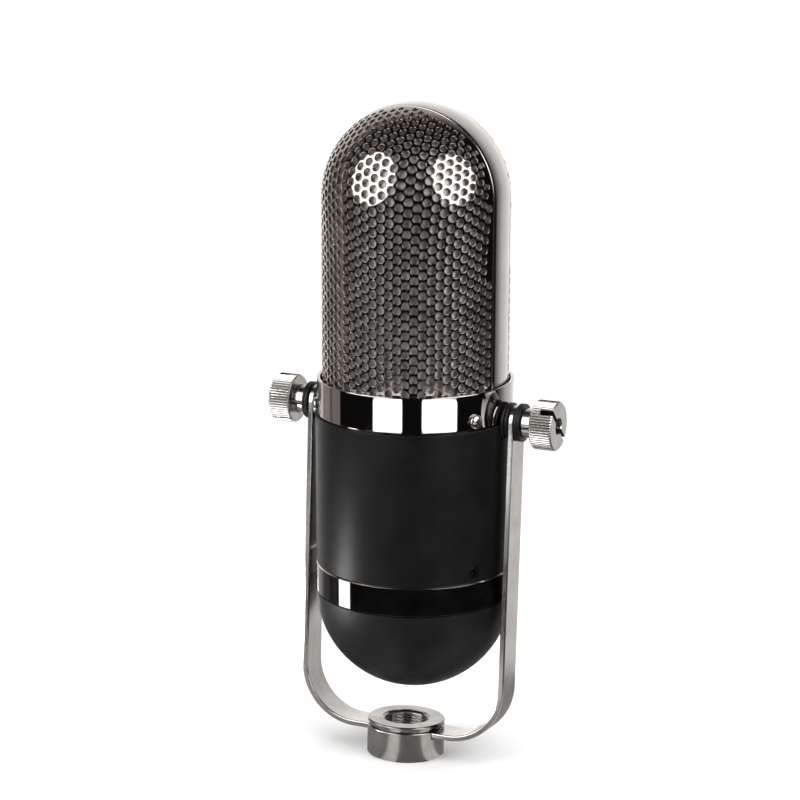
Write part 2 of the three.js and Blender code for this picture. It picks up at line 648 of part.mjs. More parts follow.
// Corrugated foil, hung between the two clamps in the gap between the poles.
function ribbon() {
  const end = WINDOW_HALF_HEIGHT - 1;
  const waves = Math.floor((2 * (end - CLAMP_HEIGHT)) / RIBBON_PITCH);
  const half = RIBBON_THICKNESS / 2;
  const crests = Array.from({ length: 2 * waves + 1 }, (_, i) => [
    i === 0 || i === 2 * waves ? 0 : (i % 2 ? 1 : -1) * RIBBON_WAVE,
    ((i - waves) * RIBBON_PITCH) / 2,
  ]);
  const centreLine = [[0, -end], ...crests, [0, end]];
  const front = centreLine.map(([y, z]) => [y - half, z]);
  const back = centreLine.map(([y, z]) => [y + half, z]).reverse();
  return extrudedZ(outlineShape([...front, ...back]), -RIBBON_WIDTH / 2, RIBBON_WIDTH / 2)
    .rotateX(Math.PI / 2)
    .rotateZ(Math.PI / 2)
    .translate(0, 0, MOTOR_CENTRE);
}

// Brass block at one end of the ribbon (+1 top, -1 bottom), slotted to grip it.
function ribbonClamp(end) {
  const outer = WINDOW_HALF_HEIGHT - GAP;
  const zs = [end * outer, end * (outer - CLAMP_HEIGHT)].sort((a, b) => a - b);
  const [x, y] = [CLAMP_HALF_WIDTH, CLAMP_HALF_DEPTH];
  const block = solidOf(box([-x, -y, zs[0]], [x, y, zs[1]]));
  const slotHalf = RIBBON_THICKNESS / 2 + GAP;
  const slotX = RIBBON_WIDTH / 2 + GAP;
  const inner = end * (outer - CLAMP_HEIGHT - 1);
  const slotZ = [inner, end * (WINDOW_HALF_HEIGHT - 1 + GAP)].sort((a, b) => a - b);
  const slot = solidOf(box([-slotX, -slotHalf, slotZ[0]], [slotX, slotHalf, slotZ[1]]));
  return geometryOf(block.subtract(slot)).translate(0, 0, MOTOR_CENTRE);
}

// Block that carries the motor, standing on rubber mounts on the chassis plate.
function motorPedestal() {
  const top = MOTOR_CENTRE - MOTOR_HALF_HEIGHT - GAP;
  const [x, y] = [PEDESTAL_HALF_WIDTH, PEDESTAL_HALF_DEPTH];
  return box([-x, -y, PEDESTAL_BOTTOM], [x, y, top]);
}

function shockMount(side) {
  const z0 = PLATE_BOSS_TOP + GAP;
  const z1 = PEDESTAL_BOTTOM - GAP;
  return rodZ(SHOCK_MOUNT_RADIUS, z0, z1, SMALL_FACETS).translate(side * SHOCK_MOUNT_X, 0, 0);
}

// ---------- Chassis, transformer and output socket ----------
function chassisPlate() {
  const boss = SPIGOT_INNER_RADIUS - GAP;
  const cableHole = 3;
  return turnedZ([
    [cableHole, PLATE_BOTTOM], [SPIGOT_RADIUS, PLATE_BOTTOM],
    [SPIGOT_RADIUS, PLATE_FLANGE_TOP], [boss, PLATE_FLANGE_TOP],
    [boss, PLATE_BOSS_TOP], [cableHole, PLATE_BOSS_TOP],
  ], HUB_FACETS);
}

function transformerCore() {
  const half = CORE_DEPTH / 2;
  const core = solidOf(box(
    [-CORE_HALF_WIDTH, -half, -CORE_HALF_HEIGHT], [CORE_HALF_WIDTH, half, CORE_HALF_HEIGHT],
  ));
  const windows = [[-CORE_WINDOW_X, -LEG_HALF_WIDTH], [LEG_HALF_WIDTH, CORE_WINDOW_X]];
  const cutters = windows.map(([x0, x1]) =>
    solidOf(box([x0, -half - 1, -CORE_WINDOW_Z], [x1, half + 1, CORE_WINDOW_Z])));
  return geometryOf(without(core, cutters)).translate(0, TRANSFORMER_Y, TRANSFORMER_Z);
}

function transformerCoil() {
  const x = CORE_WINDOW_X - GAP;
  const y = CORE_DEPTH / 2 + COIL_OVERHANG;
  const legX = LEG_HALF_WIDTH + GAP;
  const legY = CORE_DEPTH / 2 + GAP;
  const height = CORE_WINDOW_Z - GAP;
  const outline = outlineShape([[-x, -y], [x, -y], [x, y], [-x, y]]);
  outline.holes.push(outlineShape([[-legX, -legY], [legX, -legY], [legX, legY], [-legX, legY]]));
  return extrudedZ(outline, -height, height).translate(0, TRANSFORMER_Y, TRANSFORMER_Z);
}

// U-shaped strap that hangs the transformer under the chassis plate.
function transformerStrap() {
  const wall = STRAP_WALL;
  const inner = CORE_HALF_WIDTH + GAP;
  const outer = inner + wall;
  const foot = outer + STRAP_FOOT;
  const top = PLATE_BOTTOM - GAP;
  const bottom = TRANSFORMER_Z - CORE_HALF_HEIGHT - GAP;
  return extrudedY(outlineShape([
    [-foot, top], [-foot, top - wall], [-outer, top - wall], [-outer, bottom - wall],
    [outer, bottom - wall], [outer, top - wall], [foot, top - wall], [foot, top],
    [inner, top], [inner, bottom], [-inner, bottom], [-inner, top],
  ]), STRAP_WIDTH).translate(0, TRANSFORMER_Y, 0);
}

// Socket barrel with an inside flange and a ledge behind the contact insert.
function socketBarrel() {
  const flangeFront = 27;
  const flangeBack = 25;
  const ledge = SOCKET_INNER_RADIUS - 1.4;
  const mouth = 0.4;
  return turnedY([
    [ledge, SOCKET_BACK_Y], [SOCKET_RADIUS, SOCKET_BACK_Y], [SOCKET_RADIUS, flangeBack],
    [SOCKET_FLANGE_RADIUS, flangeBack], [SOCKET_FLANGE_RADIUS, flangeFront],
    [SOCKET_RADIUS, flangeFront], [SOCKET_RADIUS, SOCKET_MOUTH_Y - mouth],
    [SOCKET_RADIUS - mouth, SOCKET_MOUTH_Y], [SOCKET_INNER_RADIUS + 0.2, SOCKET_MOUTH_Y],
    [SOCKET_INNER_RADIUS, SOCKET_MOUTH_Y - 0.2], [SOCKET_INNER_RADIUS, INSERT_BACK_Y - GAP],
    [ledge, INSERT_BACK_Y - GAP],
  ], HUB_FACETS).translate(0, 0, SOCKET_HEIGHT);
}

const pinPlace = (angle) => [
  PIN_CIRCLE * Math.cos(angle * RAD), 0, SOCKET_HEIGHT + PIN_CIRCLE * Math.sin(angle * RAD),
];

function contactInsert() {
  const radius = SOCKET_INNER_RADIUS - GAP;
  const disc = solidOf(rodY(radius, INSERT_BACK_Y, INSERT_FRONT_Y, HUB_FACETS)
    .translate(0, 0, SOCKET_HEIGHT));
  const holes = PIN_ANGLES.map((angle) => solidOf(
    rodY(PIN_RADIUS + GAP, INSERT_BACK_Y - 1, INSERT_FRONT_Y + 1, SMALL_FACETS)
      .translate(...pinPlace(angle)),
  ));
  return without(disc, holes);
}

function contactPin(angle) {
  const tip = 0.6;
  return turnedY([
    [0, PIN_TAIL_Y], [PIN_RADIUS, PIN_TAIL_Y], [PIN_RADIUS, PIN_TIP_Y - tip],
    [PIN_RADIUS - tip, PIN_TIP_Y], [0, PIN_TIP_Y],
  ], SMALL_FACETS).translate(...pinPlace(angle));
}

// Insulated wire along a smooth route.
function wire(route, steps) {
  const path = new THREE.CatmullRomCurve3(route.map((point) => new THREE.Vector3(...point)));
  const section = new THREE.Shape().absarc(0, 0, WIRE_RADIUS, 0, Math.PI * 2, false);
  const settings = { extrudePath: path, steps, curveSegments: 3, bevelEnabled: false };
  return welded(new THREE.ExtrudeGeometry(section, settings));
}

// From the top clamp, down the motor's rear side and through the chassis plate.
function topLead() {
  const clamp = MOTOR_CENTRE + WINDOW_HALF_HEIGHT - 2;
  return wire([
    [-6, 4.2, clamp], [-6, LEAD_BEHIND, clamp - 4], [-6, LEAD_BEHIND, 20],
    [-5, LEAD_BEHIND, 2], [-3, 7, LEAD_TURN], [-1.2, 1.5, LEAD_TURN], [-1.2, 0, LEAD_END],
  ], 18);
}

// From the bottom clamp, round the motor's foot and through the chassis plate.
function bottomLead() {
  const clamp = MOTOR_CENTRE - WINDOW_HALF_HEIGHT + 2;
  return wire([
    [6, 4.2, clamp], [6, 9, clamp + 1], [6, LEAD_BEHIND + 1, clamp - 3],
    [5, LEAD_BEHIND, 2], [3, 7, LEAD_TURN], [1.2, 1.5, LEAD_TURN], [1.2, 0, LEAD_END],
  ], 18);
}

// From the transformer's coil to one of the two signal pins.
function outputLead(side) {
  const coilBack = TRANSFORMER_Y + CORE_DEPTH / 2 + COIL_OVERHANG + GAP;
  const [x, , z] = pinPlace(side > 0 ? PIN_ANGLES[0] : PIN_ANGLES[1]);
  return wire([
    [side * 2, coilBack, TRANSFORMER_Z + 3], [side * 3, 2, z + 2.5], [x, PIN_TAIL_Y - GAP, z],
  ], 6);
}

// ---------- Assembly ----------
function microphoneGroup() {
  const group = new THREE.Group();
  const pieces = [
    ['collar_ring', collarRing(), blackNickel],
    ['body_shell', bodyShell(), satinBlack],
    ['lower_band', lowerBand(), glossBlack],
    ['bottom_cap', bottomCap(), matteBlack],
    ['grille_front', grilleHalf(-1), blackNickel],
    ['grille_rear', grilleHalf(1), blackNickel],
    ['grille_arch', grilleArch(), brightNickel],
    ['wind_screen', capsule(SCREEN_RADIUS, SCREEN_WALL, SCREEN_BOTTOM, ROUND_FACETS), wovenSteel],
    ['motor_frame', motorFrame(), softIron],
    ['magnet_left', magnet(-1), magnetGrey],
    ['magnet_right', magnet(1), magnetGrey],
    ['pole_piece_left', polePiece(-1), softIron],
    ['pole_piece_right', polePiece(1), softIron],
    ['ribbon', ribbon(), aluminiumLeaf],
    ['ribbon_clamp_top', ribbonClamp(1), brass],
    ['ribbon_clamp_bottom', ribbonClamp(-1), brass],
    ['motor_pedestal', motorPedestal(), aluminiumLeaf],
    ['shock_mount_left', shockMount(-1), blackRubber],
    ['shock_mount_right', shockMount(1), blackRubber],
    ['chassis_plate', chassisPlate(), aluminiumLeaf],
    ['transformer_core', transformerCore(), softIron],
    ['transformer_coil', transformerCoil(), copperWire],
    ['transformer_strap', transformerStrap(), brushedSteel],
    ['socket_barrel', socketBarrel(), blackNickel],
    ['contact_insert', contactInsert(), blackPlastic],
    ['ribbon_lead_top', topLead(), copperWire],
    ['ribbon_lead_bottom', bottomLead(), copperWire],
    ['output_lead_left', outputLead(-1), copperWire],
    ['output_lead_right', outputLead(1), copperWire],
  ];
  for (const [name, shape, material] of pieces) group.add(mesh(name, shape, material));
  group.add(...ringScrews(), ...shellScrews());
  PIN_ANGLES.forEach((angle, i) => {
    group.add(mesh(`contact_pin_${i + 1}`, contactPin(angle), brightNickel));
  });
  group.add(clampStack('left', LEFT_SLOT_ANGLE), clampStack('right', RIGHT_SLOT_ANGLE));
  group.rotation.x = LEAN_DEG * RAD;
  group.position.z = PIVOT_HEIGHT;
  return group;
}

const microphone = new THREE.Group();
microphone.add(yokeGroup(), microphoneGroup());

export default microphone;
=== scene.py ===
"""Side-address ribbon microphone in a stand yoke: detailed pieces, finishes, studio and camera.

Lengths in this file are millimetres until a mesh is made. The microphone's own frame has its
origin on the pivot axis and leans with the microphone; the yoke's frame is the row frame.
"""

import math

import bmesh
import bpy
import numpy as np
from mathutils import Matrix, Vector
from mathutils.geometry import delaunay_2d_cdt


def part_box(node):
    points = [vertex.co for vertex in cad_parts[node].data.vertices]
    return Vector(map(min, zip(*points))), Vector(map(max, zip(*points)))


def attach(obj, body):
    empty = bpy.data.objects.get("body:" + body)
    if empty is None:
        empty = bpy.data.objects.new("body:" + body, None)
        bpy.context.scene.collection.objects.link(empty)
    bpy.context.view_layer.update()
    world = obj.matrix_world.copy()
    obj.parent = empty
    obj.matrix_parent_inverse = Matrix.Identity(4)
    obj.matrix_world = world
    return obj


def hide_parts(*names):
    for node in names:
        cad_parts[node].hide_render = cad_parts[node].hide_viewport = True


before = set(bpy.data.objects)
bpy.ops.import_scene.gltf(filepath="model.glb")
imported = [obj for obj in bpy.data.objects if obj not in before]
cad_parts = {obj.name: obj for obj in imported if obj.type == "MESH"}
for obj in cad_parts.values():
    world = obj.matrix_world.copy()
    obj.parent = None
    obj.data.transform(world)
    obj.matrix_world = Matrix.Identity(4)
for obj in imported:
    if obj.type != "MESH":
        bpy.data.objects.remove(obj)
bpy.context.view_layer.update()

MM = 0.001
PI = math.pi
TAU = 2 * math.pi

# ---------- Driving dimensions, as in the CAD ----------
LEAN = math.radians(3.4)
knob_low, knob_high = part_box("clamp_knob_right")
PIVOT = (knob_low.z + knob_high.z) / 2
PIVOT_MM = PIVOT / MM
ROW = Matrix.Identity(4)
MIC = Matrix.Translation((0, 0, PIVOT)) @ Matrix.Rotation(LEAN, 4, "X")

GAP = 0.15  # between parts that would touch
CLEAR = 0.3  # round a part in its hole

# Yoke strip: the arms' outsides are HALF_SPAN from the middle, and EYE is the strip's widening
# round the hub.
HALF_SPAN, STRIP, STRIP_HALF = 37.15, 1.95, 5.5
BEND, STRIP_BOTTOM, EYE = 19.8, 7.85, 11.6

# Hub, its spacer and its threaded bush
HUB_R, HUB_TOP, HUB_BODY_TOP, FLANGE = 13.1, 12.35, 10.1, 1.3
HUB_CHAMFER = 0.55
SPACER_R = HUB_R - 0.9
SLEEVE = 9.4
THREAD_MINOR, THREAD_MAJOR, THREAD_PITCH = 7.45, 7.94, 25.4 / 27
THREAD_LEAD = 0.65  # the chamfer at each end of the thread's bore
THREAD_FADE = 0.9  # the thread starts this far from each end

# Casing, from the ring at the grille's foot down to the cap
RING_R, RING_TOP, RING_LIP = 32.8, 12.1, 1.2
SPIGOT, SPIGOT_IN, SPIGOT_LOW, SHELF = 31.2, 27.5, -9.0, 2.0
SHELL_TOP_R, SHELL_LOW_R, SHELL_IN, SHELL_LOW = 33.3, 33.05, 31.5, -51.3
BAND_R, BAND_LOW, BAND_CHAMFER = 33.1, -61.4, 0.35
BAND_INNER, BAND_SEAT, BAND_LAP, BAND_LIP = 28.8, 30.2, 7.0, 3.4
CAP_R, CAP_WALL = 33.05, 2.0

# Grille, arch and the screen behind them; DOME is the height of the dome's centre
GRILLE_R, GRILLE_LOW, DOME = 31.04, 2.3, 72.2
ARCH_HALF, ARCH_WALL = 6.8, 1.4
SCREEN_R, SCREEN_WALL, SCREEN_LOW, WIRE_PITCH = 29.4, 0.4, 5.0, 0.46

# Clamp stack, outwards along the pivot axis
STUD_R, STUD_HOLE, STUD_IN, STUD_OUT, STUD_HEAD, STUD_HEAD_END = 2.5, 2.65, 22.0, 48.4, 4.5, 26.8
WASHER = 6.3
IN_FACE = HALF_SPAN - STRIP - GAP
OUT_START, OUT_END = HALF_SPAN + GAP, HALF_SPAN + 2.15
KNOB_START = OUT_END + GAP
KNOB_FACE = KNOB_START + 3.9
KNOB_END = KNOB_FACE + 7.6
NECK, KNOB_R, KNOB_CHAMFER, KNURL, TEETH = 4.9, 8.15, 0.5, 0.45, 54
SLOT_HALF, SLOT_DEPTH = 0.8, 4.4

# Screws: pan heads in the ring, flat heads in the shell
SCREW_BEARINGS = (60, 180, 300)
RING_SCREW_Z, SHELL_SCREW_Z = 2.9, -48.0
PAN_TIP, PAN_SHANK, PAN_HEAD, PAN_CROWN, PAN_EDGE = 29.7, 1.2, 2.4, 1.5, 0.45
FLAT_TIP, FLAT_SHANK, FLAT_HEAD, FLAT_SINK, FLAT_FACE = 29.0, 1.0, 1.9, 1.1, SHELL_LOW_R - 0.1
CROSS_HALF_WIDTH = 0.35

# Output socket in the rear of the shell
SOCKET_Z, SOCKET_R, SOCKET_IN, SOCKET_MOUTH = -28.0, 11.2, 9.6, 35.2
PIN_R, PIN_CIRCLE, PIN_TIP, PIN_TAIL = 1.2, 3.9, 30.6, 9.0
INSERT_BACK, INSERT_FRONT = 14.1, 19.6

# ---------- Mesh tools ----------


def soften(points, steps=4, support=0.06):
    """Rounds each (radius, height, fillet) corner of a closed profile; other points stay. A support
    point on each side of a fillet keeps the flat faces beside it flat in their shading."""
    out = []
    for i, p in enumerate(points):
        if len(p) < 3:
            out.append((p[0], p[1]))
            continue
        here = np.array(p[:2], float)
        arms = [np.array(points[i - 1][:2]) - here, np.array(points[(i + 1) % len(points)][:2]) - here]
        lengths = [np.linalg.norm(a) for a in arms]
        a, b = (arm / n for arm, n in zip(arms, lengths))
        half = math.acos(max(-1, min(1, float(a @ b)))) / 2
        reach = min(p[2] / math.tan(half), 0.48 * min(lengths))
        start, end = here + a * reach, here + b * reach
        if lengths[0] > 2 * (reach + support):
            out.append(tuple(start + a * support))
        for k in range(steps + 1):
            t = k / steps
            out.append(tuple((1 - t) ** 2 * start + 2 * t * (1 - t) * here + t * t * end))
        if lengths[1] > 2 * (reach + support):
            out.append(tuple(end + b * support))
    return out


def arc(radius, centre, start, end, steps):
    """Profile points on an arc, in degrees from the radius axis."""
    angles = np.radians(np.linspace(start, end, steps + 1))
    return [(radius * math.cos(a), centre + radius * math.sin(a)) for a in angles]


def lathe(profile, steps, axis="Z", shape=None):
    """A closed profile of (radius, height) turned about an axis; shape bends radii by angle."""
    n = len(profile)
    radius, height = np.array(profile, float).T
    angle = np.linspace(0, TAU, steps, endpoint=False)[:, None]
    r = np.broadcast_to(radius, (steps, n))
    if shape is not None:
        r = shape(angle, radius[None], height[None])
    h = np.broadcast_to(height, (steps, n))
    c, s = r * np.cos(angle), r * np.sin(angle)
    order = {"Z": (c, s, h), "X": (h, c, s), "Y": (s, h, c)}[axis]
    verts = np.stack(order, -1).reshape(-1, 3)
    faces = []
    for k in range(steps):
        a, b = k * n, (k + 1) % steps * n
        faces += [(a + j, b + j, b + (j + 1) % n, a + (j + 1) % n) for j in range(n)]
    return verts, faces


def sweep(stations):
    """Closed cross-sections joined in order, with a face over each end."""
    n = len(stations[0])
    verts = np.concatenate(stations)
    faces = []
    for k in range(len(stations) - 1):
        a, b = k * n, (k + 1) * n
        faces += [(a + j, b + j, b + (j + 1) % n, a + (j + 1) % n) for j in range(n)]
    faces += [tuple(range(n))[::-1], tuple(range(len(verts) - n, len(verts)))]
    return verts, faces


def block(low, high):
    """Verts and faces of a box, used only to cut with."""
    x, y, z = zip(low, high)
    verts = np.array([(a, b, c) for a in x for b in y for c in z], float)
    faces = [(0, 1, 3, 2), (4, 6, 7, 5), (0, 4, 5, 1), (2, 3, 7, 6), (0, 2, 6, 4), (1, 5, 7, 3)]
    return verts, faces


def turned(shape, matrix):
    """The shape with its verts moved by a matrix."""
    verts, faces = shape
    m = np.array(matrix)
    return verts @ m[:3, :3].T + m[:3, 3], faces


def placed(verts, place):
    """Millimetres in a local frame to metres in the row frame."""
    m = np.array(place)
    return (np.asarray(verts) * MM) @ m[:3, :3].T + m[:3, 3]


def bare_object(name, shape, place):
    verts, faces = shape
    mesh = bpy.data.meshes.new(name)
    mesh.from_pydata(placed(verts, place).tolist(), [], faces)
    work = bmesh.new()
    work.from_mesh(mesh)
    bmesh.ops.remove_doubles(work, verts=work.verts, dist=2e-7)
    bmesh.ops.dissolve_degenerate(work, edges=work.edges, dist=1e-8)
    bmesh.ops.recalc_face_normals(work, faces=work.faces)
    work.to_mesh(mesh)
    work.free()
    obj = bpy.data.objects.new(name, mesh)
    bpy.context.scene.collection.objects.link(obj)
    return obj


def carve(obj, shapes, place):
    """Cuts the shapes from obj, for good."""
    cutters = []
    for i, shape in enumerate(shapes):
        cutter = bare_object(f"cutter_{i}", shape, place)
        modifier = obj.modifiers.new("cut", "BOOLEAN")
        modifier.operation, modifier.solver, modifier.object = "DIFFERENCE", "EXACT", cutter
        cutters.append(cutter)
    bpy.context.view_layer.update()
    done = obj.evaluated_get(bpy.context.evaluated_depsgraph_get())
    mesh = bpy.data.meshes.new_from_object(done)
    obj.modifiers.clear()
    obj.data = mesh
    for cutter in cutters:
        bpy.data.objects.remove(cutter)


def piece(name, shape, material, body, nodes, place=MIC, cuts=(), sharp=32):
    """A finished piece: cut, smoothed, given its material, and set on its body."""
    obj = bare_object(name, shape, place)
    if cuts:
        carve(obj, cuts, place)
    obj.data.materials.clear()
    obj.data.materials.append(material)
    obj.data.shade_smooth()
    obj.data.set_sharp_from_angle(angle=math.radians(sharp))
    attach(obj, body)
    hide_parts(*nodes)
    return obj


def about_z(degrees):
    return Matrix.Rotation(math.radians(degrees), 4, "Z")


def about_x(degrees):
    return Matrix.Rotation(math.radians(degrees), 4, "X")


def shifted(x, y, z):
    return Matrix.Translation((x, y, z))


# ---------- Material tools ----------


def add_node(tree, kind, inputs=(), **settings):
    """A node with its inputs set or, where an input is another node's output, linked."""
    made = tree.nodes.new(kind)
    for key, value in settings.items():
        setattr(made, key, value)
    for key, value in dict(inputs).items():
        if isinstance(value, bpy.types.NodeSocket):
            tree.links.new(value, made.inputs[key])
        else:
            made.inputs[key].default_value = value
    return made


class Finish:
    """A node material whose textures are read in the piece's own millimetres."""

    def __init__(self, name, **sockets):
        self.material = bpy.data.materials.new(name)
        self.material.use_nodes = True
        self.tree = self.material.node_tree
        self.shader = self.tree.nodes["Principled BSDF"]
        for socket, value in sockets.items():
            self.shader.inputs[socket.replace("_", " ")].default_value = value
        self.place = self.tree.nodes.new("ShaderNodeTexCoord").outputs["Object"]
        self.normal = None

    def node(self, kind, inputs=(), **settings):
        return add_node(self.tree, kind, inputs, **settings)

    def scaled(self, scale=(1, 1, 1)):
        """Object coordinates in millimetres, times scale."""
        size = tuple(s / MM for s in scale)
        return self.node("ShaderNodeMapping", {"Vector": self.place, "Scale": size}).outputs[0]

    def noise(self, scale, detail=2.0, stretch=(1, 1, 1), rough=0.5):
        inputs = {"Vector": self.scaled(stretch), "Scale": scale, "Detail": detail, "Roughness": rough}
        return self.node("ShaderNodeTexNoise", inputs).outputs["Fac"]

    def math(self, operation, *values):
        return self.node("ShaderNodeMath", dict(enumerate(values)), operation=operation).outputs[0]

    def between(self, value, low, high, out_low=0.0, out_high=1.0):
        inputs = {
            "Value": value, "From Min": low, "From Max": high, "To Min": out_low, "To Max": out_high,
        }
        return self.node("ShaderNodeMapRange", inputs).outputs["Result"]

    def blend(self, factor, first, second):
        """A colour between two colours."""
        inputs = {0: factor, 6: (*first, 1), 7: (*second, 1)}
        return self.node("ShaderNodeMix", inputs, data_type="RGBA").outputs[2]

    def drive(self, socket, value):
        self.tree.links.new(value, self.shader.inputs[socket])

    def bump(self, height, strength, distance):
        """Adds a bump layer; distance is in millimetres."""
        inputs = {"Height": height, "Strength": strength, "Distance": distance * MM}
        if self.normal is not None:
            inputs["Normal"] = self.normal
        self.normal = self.node("ShaderNodeBump", inputs).outputs[0]
        self.drive("Normal", self.normal)


def metal(name, light, dark, rough, grain=(1, 1, 1), grain_scale=6.0, grain_depth=0.004, wear=0.5):
    """Plated metal with cloudy colour, uneven polish and fine marks along one direction."""
    f = Finish(name, Metallic=1.0)
    cloud = f.noise(0.09, 4.0, rough=0.6)
    f.drive("Base Color", f.blend(f.between(cloud, 0.35, 0.65), dark, light))
    marks = f.noise(grain_scale, 3.0, grain)
    smudge = f.noise(0.22, 3.0)
    mixed = f.math("ADD", f.math("MULTIPLY", marks, wear), f.math("MULTIPLY", smudge, 1 - wear))
    f.drive("Roughness", f.between(mixed, 0.3, 0.7, *rough))
    f.bump(marks, 0.25, grain_depth)
    return f


black_nickel = metal(
    "black_nickel", (0.45, 0.42, 0.405), (0.39, 0.365, 0.35), (0.025, 0.05), grain_depth=0.0004,
)
grille_nickel = metal(
    "grille_black_nickel", (0.46, 0.41, 0.375), (0.34, 0.295, 0.265), (0.04, 0.08), grain_depth=0.001,
)
bright_nickel = metal(
    "bright_nickel", (0.56, 0.54, 0.52), (0.47, 0.45, 0.435), (0.16, 0.27),
    grain=(6, 1, 6), grain_depth=0.003,
)
yoke_nickel = metal(
    "yoke_nickel", (0.62, 0.595, 0.575), (0.52, 0.50, 0.48), (0.16, 0.27),
    grain=(1, 8, 1), grain_depth=0.004,
)
screw_steel = metal(
    "screw_steel", (0.085, 0.08, 0.078), (0.05, 0.048, 0.047), (0.22, 0.34),
    grain_scale=2.0, grain_depth=0.001,
)
arch_nickel = metal(
    "arch_nickel", (0.60, 0.575, 0.555), (0.54, 0.515, 0.495), (0.12, 0.17),
    grain_scale=1.5, grain_depth=0.0006,
)
hub_steel = metal(
    "hub_steel", (0.46, 0.44, 0.42), (0.30, 0.287, 0.275), (0.16, 0.28),
    grain=(1, 1, 10), grain_depth=0.004,
)
# Bright warm metal for the band's chamfers: a painted highlight along its edges.
band_edge_highlight = metal("painted_edge_highlight", (0.78, 0.66, 0.56), (0.7, 0.58, 0.48), (0.12, 0.2))
stud_steel = metal("stud_steel", (0.2, 0.19, 0.18), (0.1, 0.095, 0.09), (0.3, 0.45))
# Darker nickel for the knob's knurl grooves: painted shade in the recesses between the teeth.
painted_groove_shade = metal("painted_groove_shade", (0.16, 0.15, 0.14), (0.1, 0.094, 0.09), (0.3, 0.45))
soft_iron = metal("soft_iron", (0.34, 0.33, 0.32), (0.24, 0.23, 0.22), (0.4, 0.6), grain_depth=0.01)
magnet_grey = metal("magnet", (0.2, 0.2, 0.205), (0.14, 0.14, 0.145), (0.4, 0.6), grain_depth=0.02)
aluminium = metal("aluminium", (0.72, 0.73, 0.74), (0.6, 0.61, 0.62), (0.25, 0.4), grain=(1, 1, 8))
brass = metal("brass", (0.62, 0.42, 0.16), (0.5, 0.33, 0.12), (0.22, 0.4), grain=(1, 8, 1))
copper = metal("enamelled_copper", (0.45, 0.17, 0.07), (0.3, 0.1, 0.04), (0.3, 0.5))


def paint(name, colour, rough, speck_scale, speck_depth, specular=0.5, coat=0.0):
    """Black paint, plastic or rubber with a fine surface grain."""
    f = Finish(name, Specular_IOR_Level=specular, Coat_Weight=coat, Coat_Roughness=0.05)
    cloud = f.noise(0.12, 3.0)
    lighter = tuple(min(1, c * 1.5 + 0.002) for c in colour)
    f.drive("Base Color", f.blend(f.between(cloud, 0.3, 0.7), colour, lighter))
    grain = f.noise(speck_scale, 2.0)
    f.drive("Roughness", f.between(f.noise(0.4, 4.0), 0.3, 0.7, *rough))
    f.bump(grain, 0.5, speck_depth)
    return f


satin_black = paint("satin_black", (0.0025, 0.0025, 0.0027), (0.36, 0.42), 9.0, 0.006, specular=0.2)
gloss_black = paint("gloss_black", (0.0012, 0.0011, 0.0011), (0.03, 0.05), 1.5, 0.0003, specular=0.22)
matte_black = paint("matte_black", (0.003, 0.003, 0.003), (0.44, 0.52), 8.0, 0.01, specular=0.22)
rubber = paint("rubber", (0.004, 0.004, 0.0045), (0.36, 0.5), 5.0, 0.012, specular=0.4)
# Near-black for the inside of the knob's slot: a painted shadow in the recess.
painted_slot_shadow = paint("painted_slot_shadow", (0.006, 0.006, 0.006), (0.5, 0.6), 5.0, 0.01, specular=0.2)
plastic = paint("plastic", (0.012, 0.012, 0.012), (0.4, 0.55), 6.0, 0.008)


def woven_steel():
    """Fine diagonal wire cloth: over-and-under wires in bump, colour and roughness."""
    f = Finish("woven_steel", Metallic=1.0, Anisotropic=0.85)
    upright = f.node("ShaderNodeMapping", {
        "Vector": f.place, "Scale": (1 / MM,) * 3, "Rotation": (-LEAN, 0, 0),
        "Location": (0, -PIVOT_MM * math.sin(LEAN), -PIVOT_MM * math.cos(LEAN)),
    }).outputs[0]
    axes = f.node("ShaderNodeSeparateXYZ", {"Vector": upright})
    x, y, z = axes.outputs
    round_case = f.math("MULTIPLY", f.math("ARCTAN2", x, f.math("MULTIPLY", y, -1.0)), SCREEN_R)
    wires = PI / (WIRE_PITCH * math.sqrt(2))
    first = f.math("MULTIPLY", f.math("ADD", round_case, z), wires)
    second = f.math("MULTIPLY", f.math("SUBTRACT", round_case, z), wires)
    wire_a, wire_b = (f.math("ABSOLUTE", f.math("SINE", v)) for v in (first, second))
    swap = f.math("GREATER_THAN", f.math("MULTIPLY", f.math("SINE", first), f.math("SINE", second)), 0.0)
    over = f.math("MULTIPLY", wire_a, f.math("ADD", 0.55, f.math("MULTIPLY", swap, 0.45)))
    under = f.math("MULTIPLY", wire_b, f.math("SUBTRACT", 1.0, f.math("MULTIPLY", swap, 0.45)))
    weave = f.math("MAXIMUM", over, under)
    cloud = f.noise(0.35, 4.0)
    tone = f.math("MULTIPLY", f.between(weave, 0.35, 0.95), f.between(cloud, 0.35, 0.65, 0.45, 1.0))
    f.drive("Base Color", f.blend(tone, (0.07, 0.066, 0.062), (0.95, 0.92, 0.895)))
    f.drive("Roughness", f.between(cloud, 0.3, 0.7, 0.36, 0.44))
    f.drive("Anisotropic Rotation", f.between(swap, 0.0, 1.0, 0.125, 0.375))
    f.bump(weave, 0.5, 0.06)
    return f


screen_steel = woven_steel()

# ---------- Yoke and hub ----------


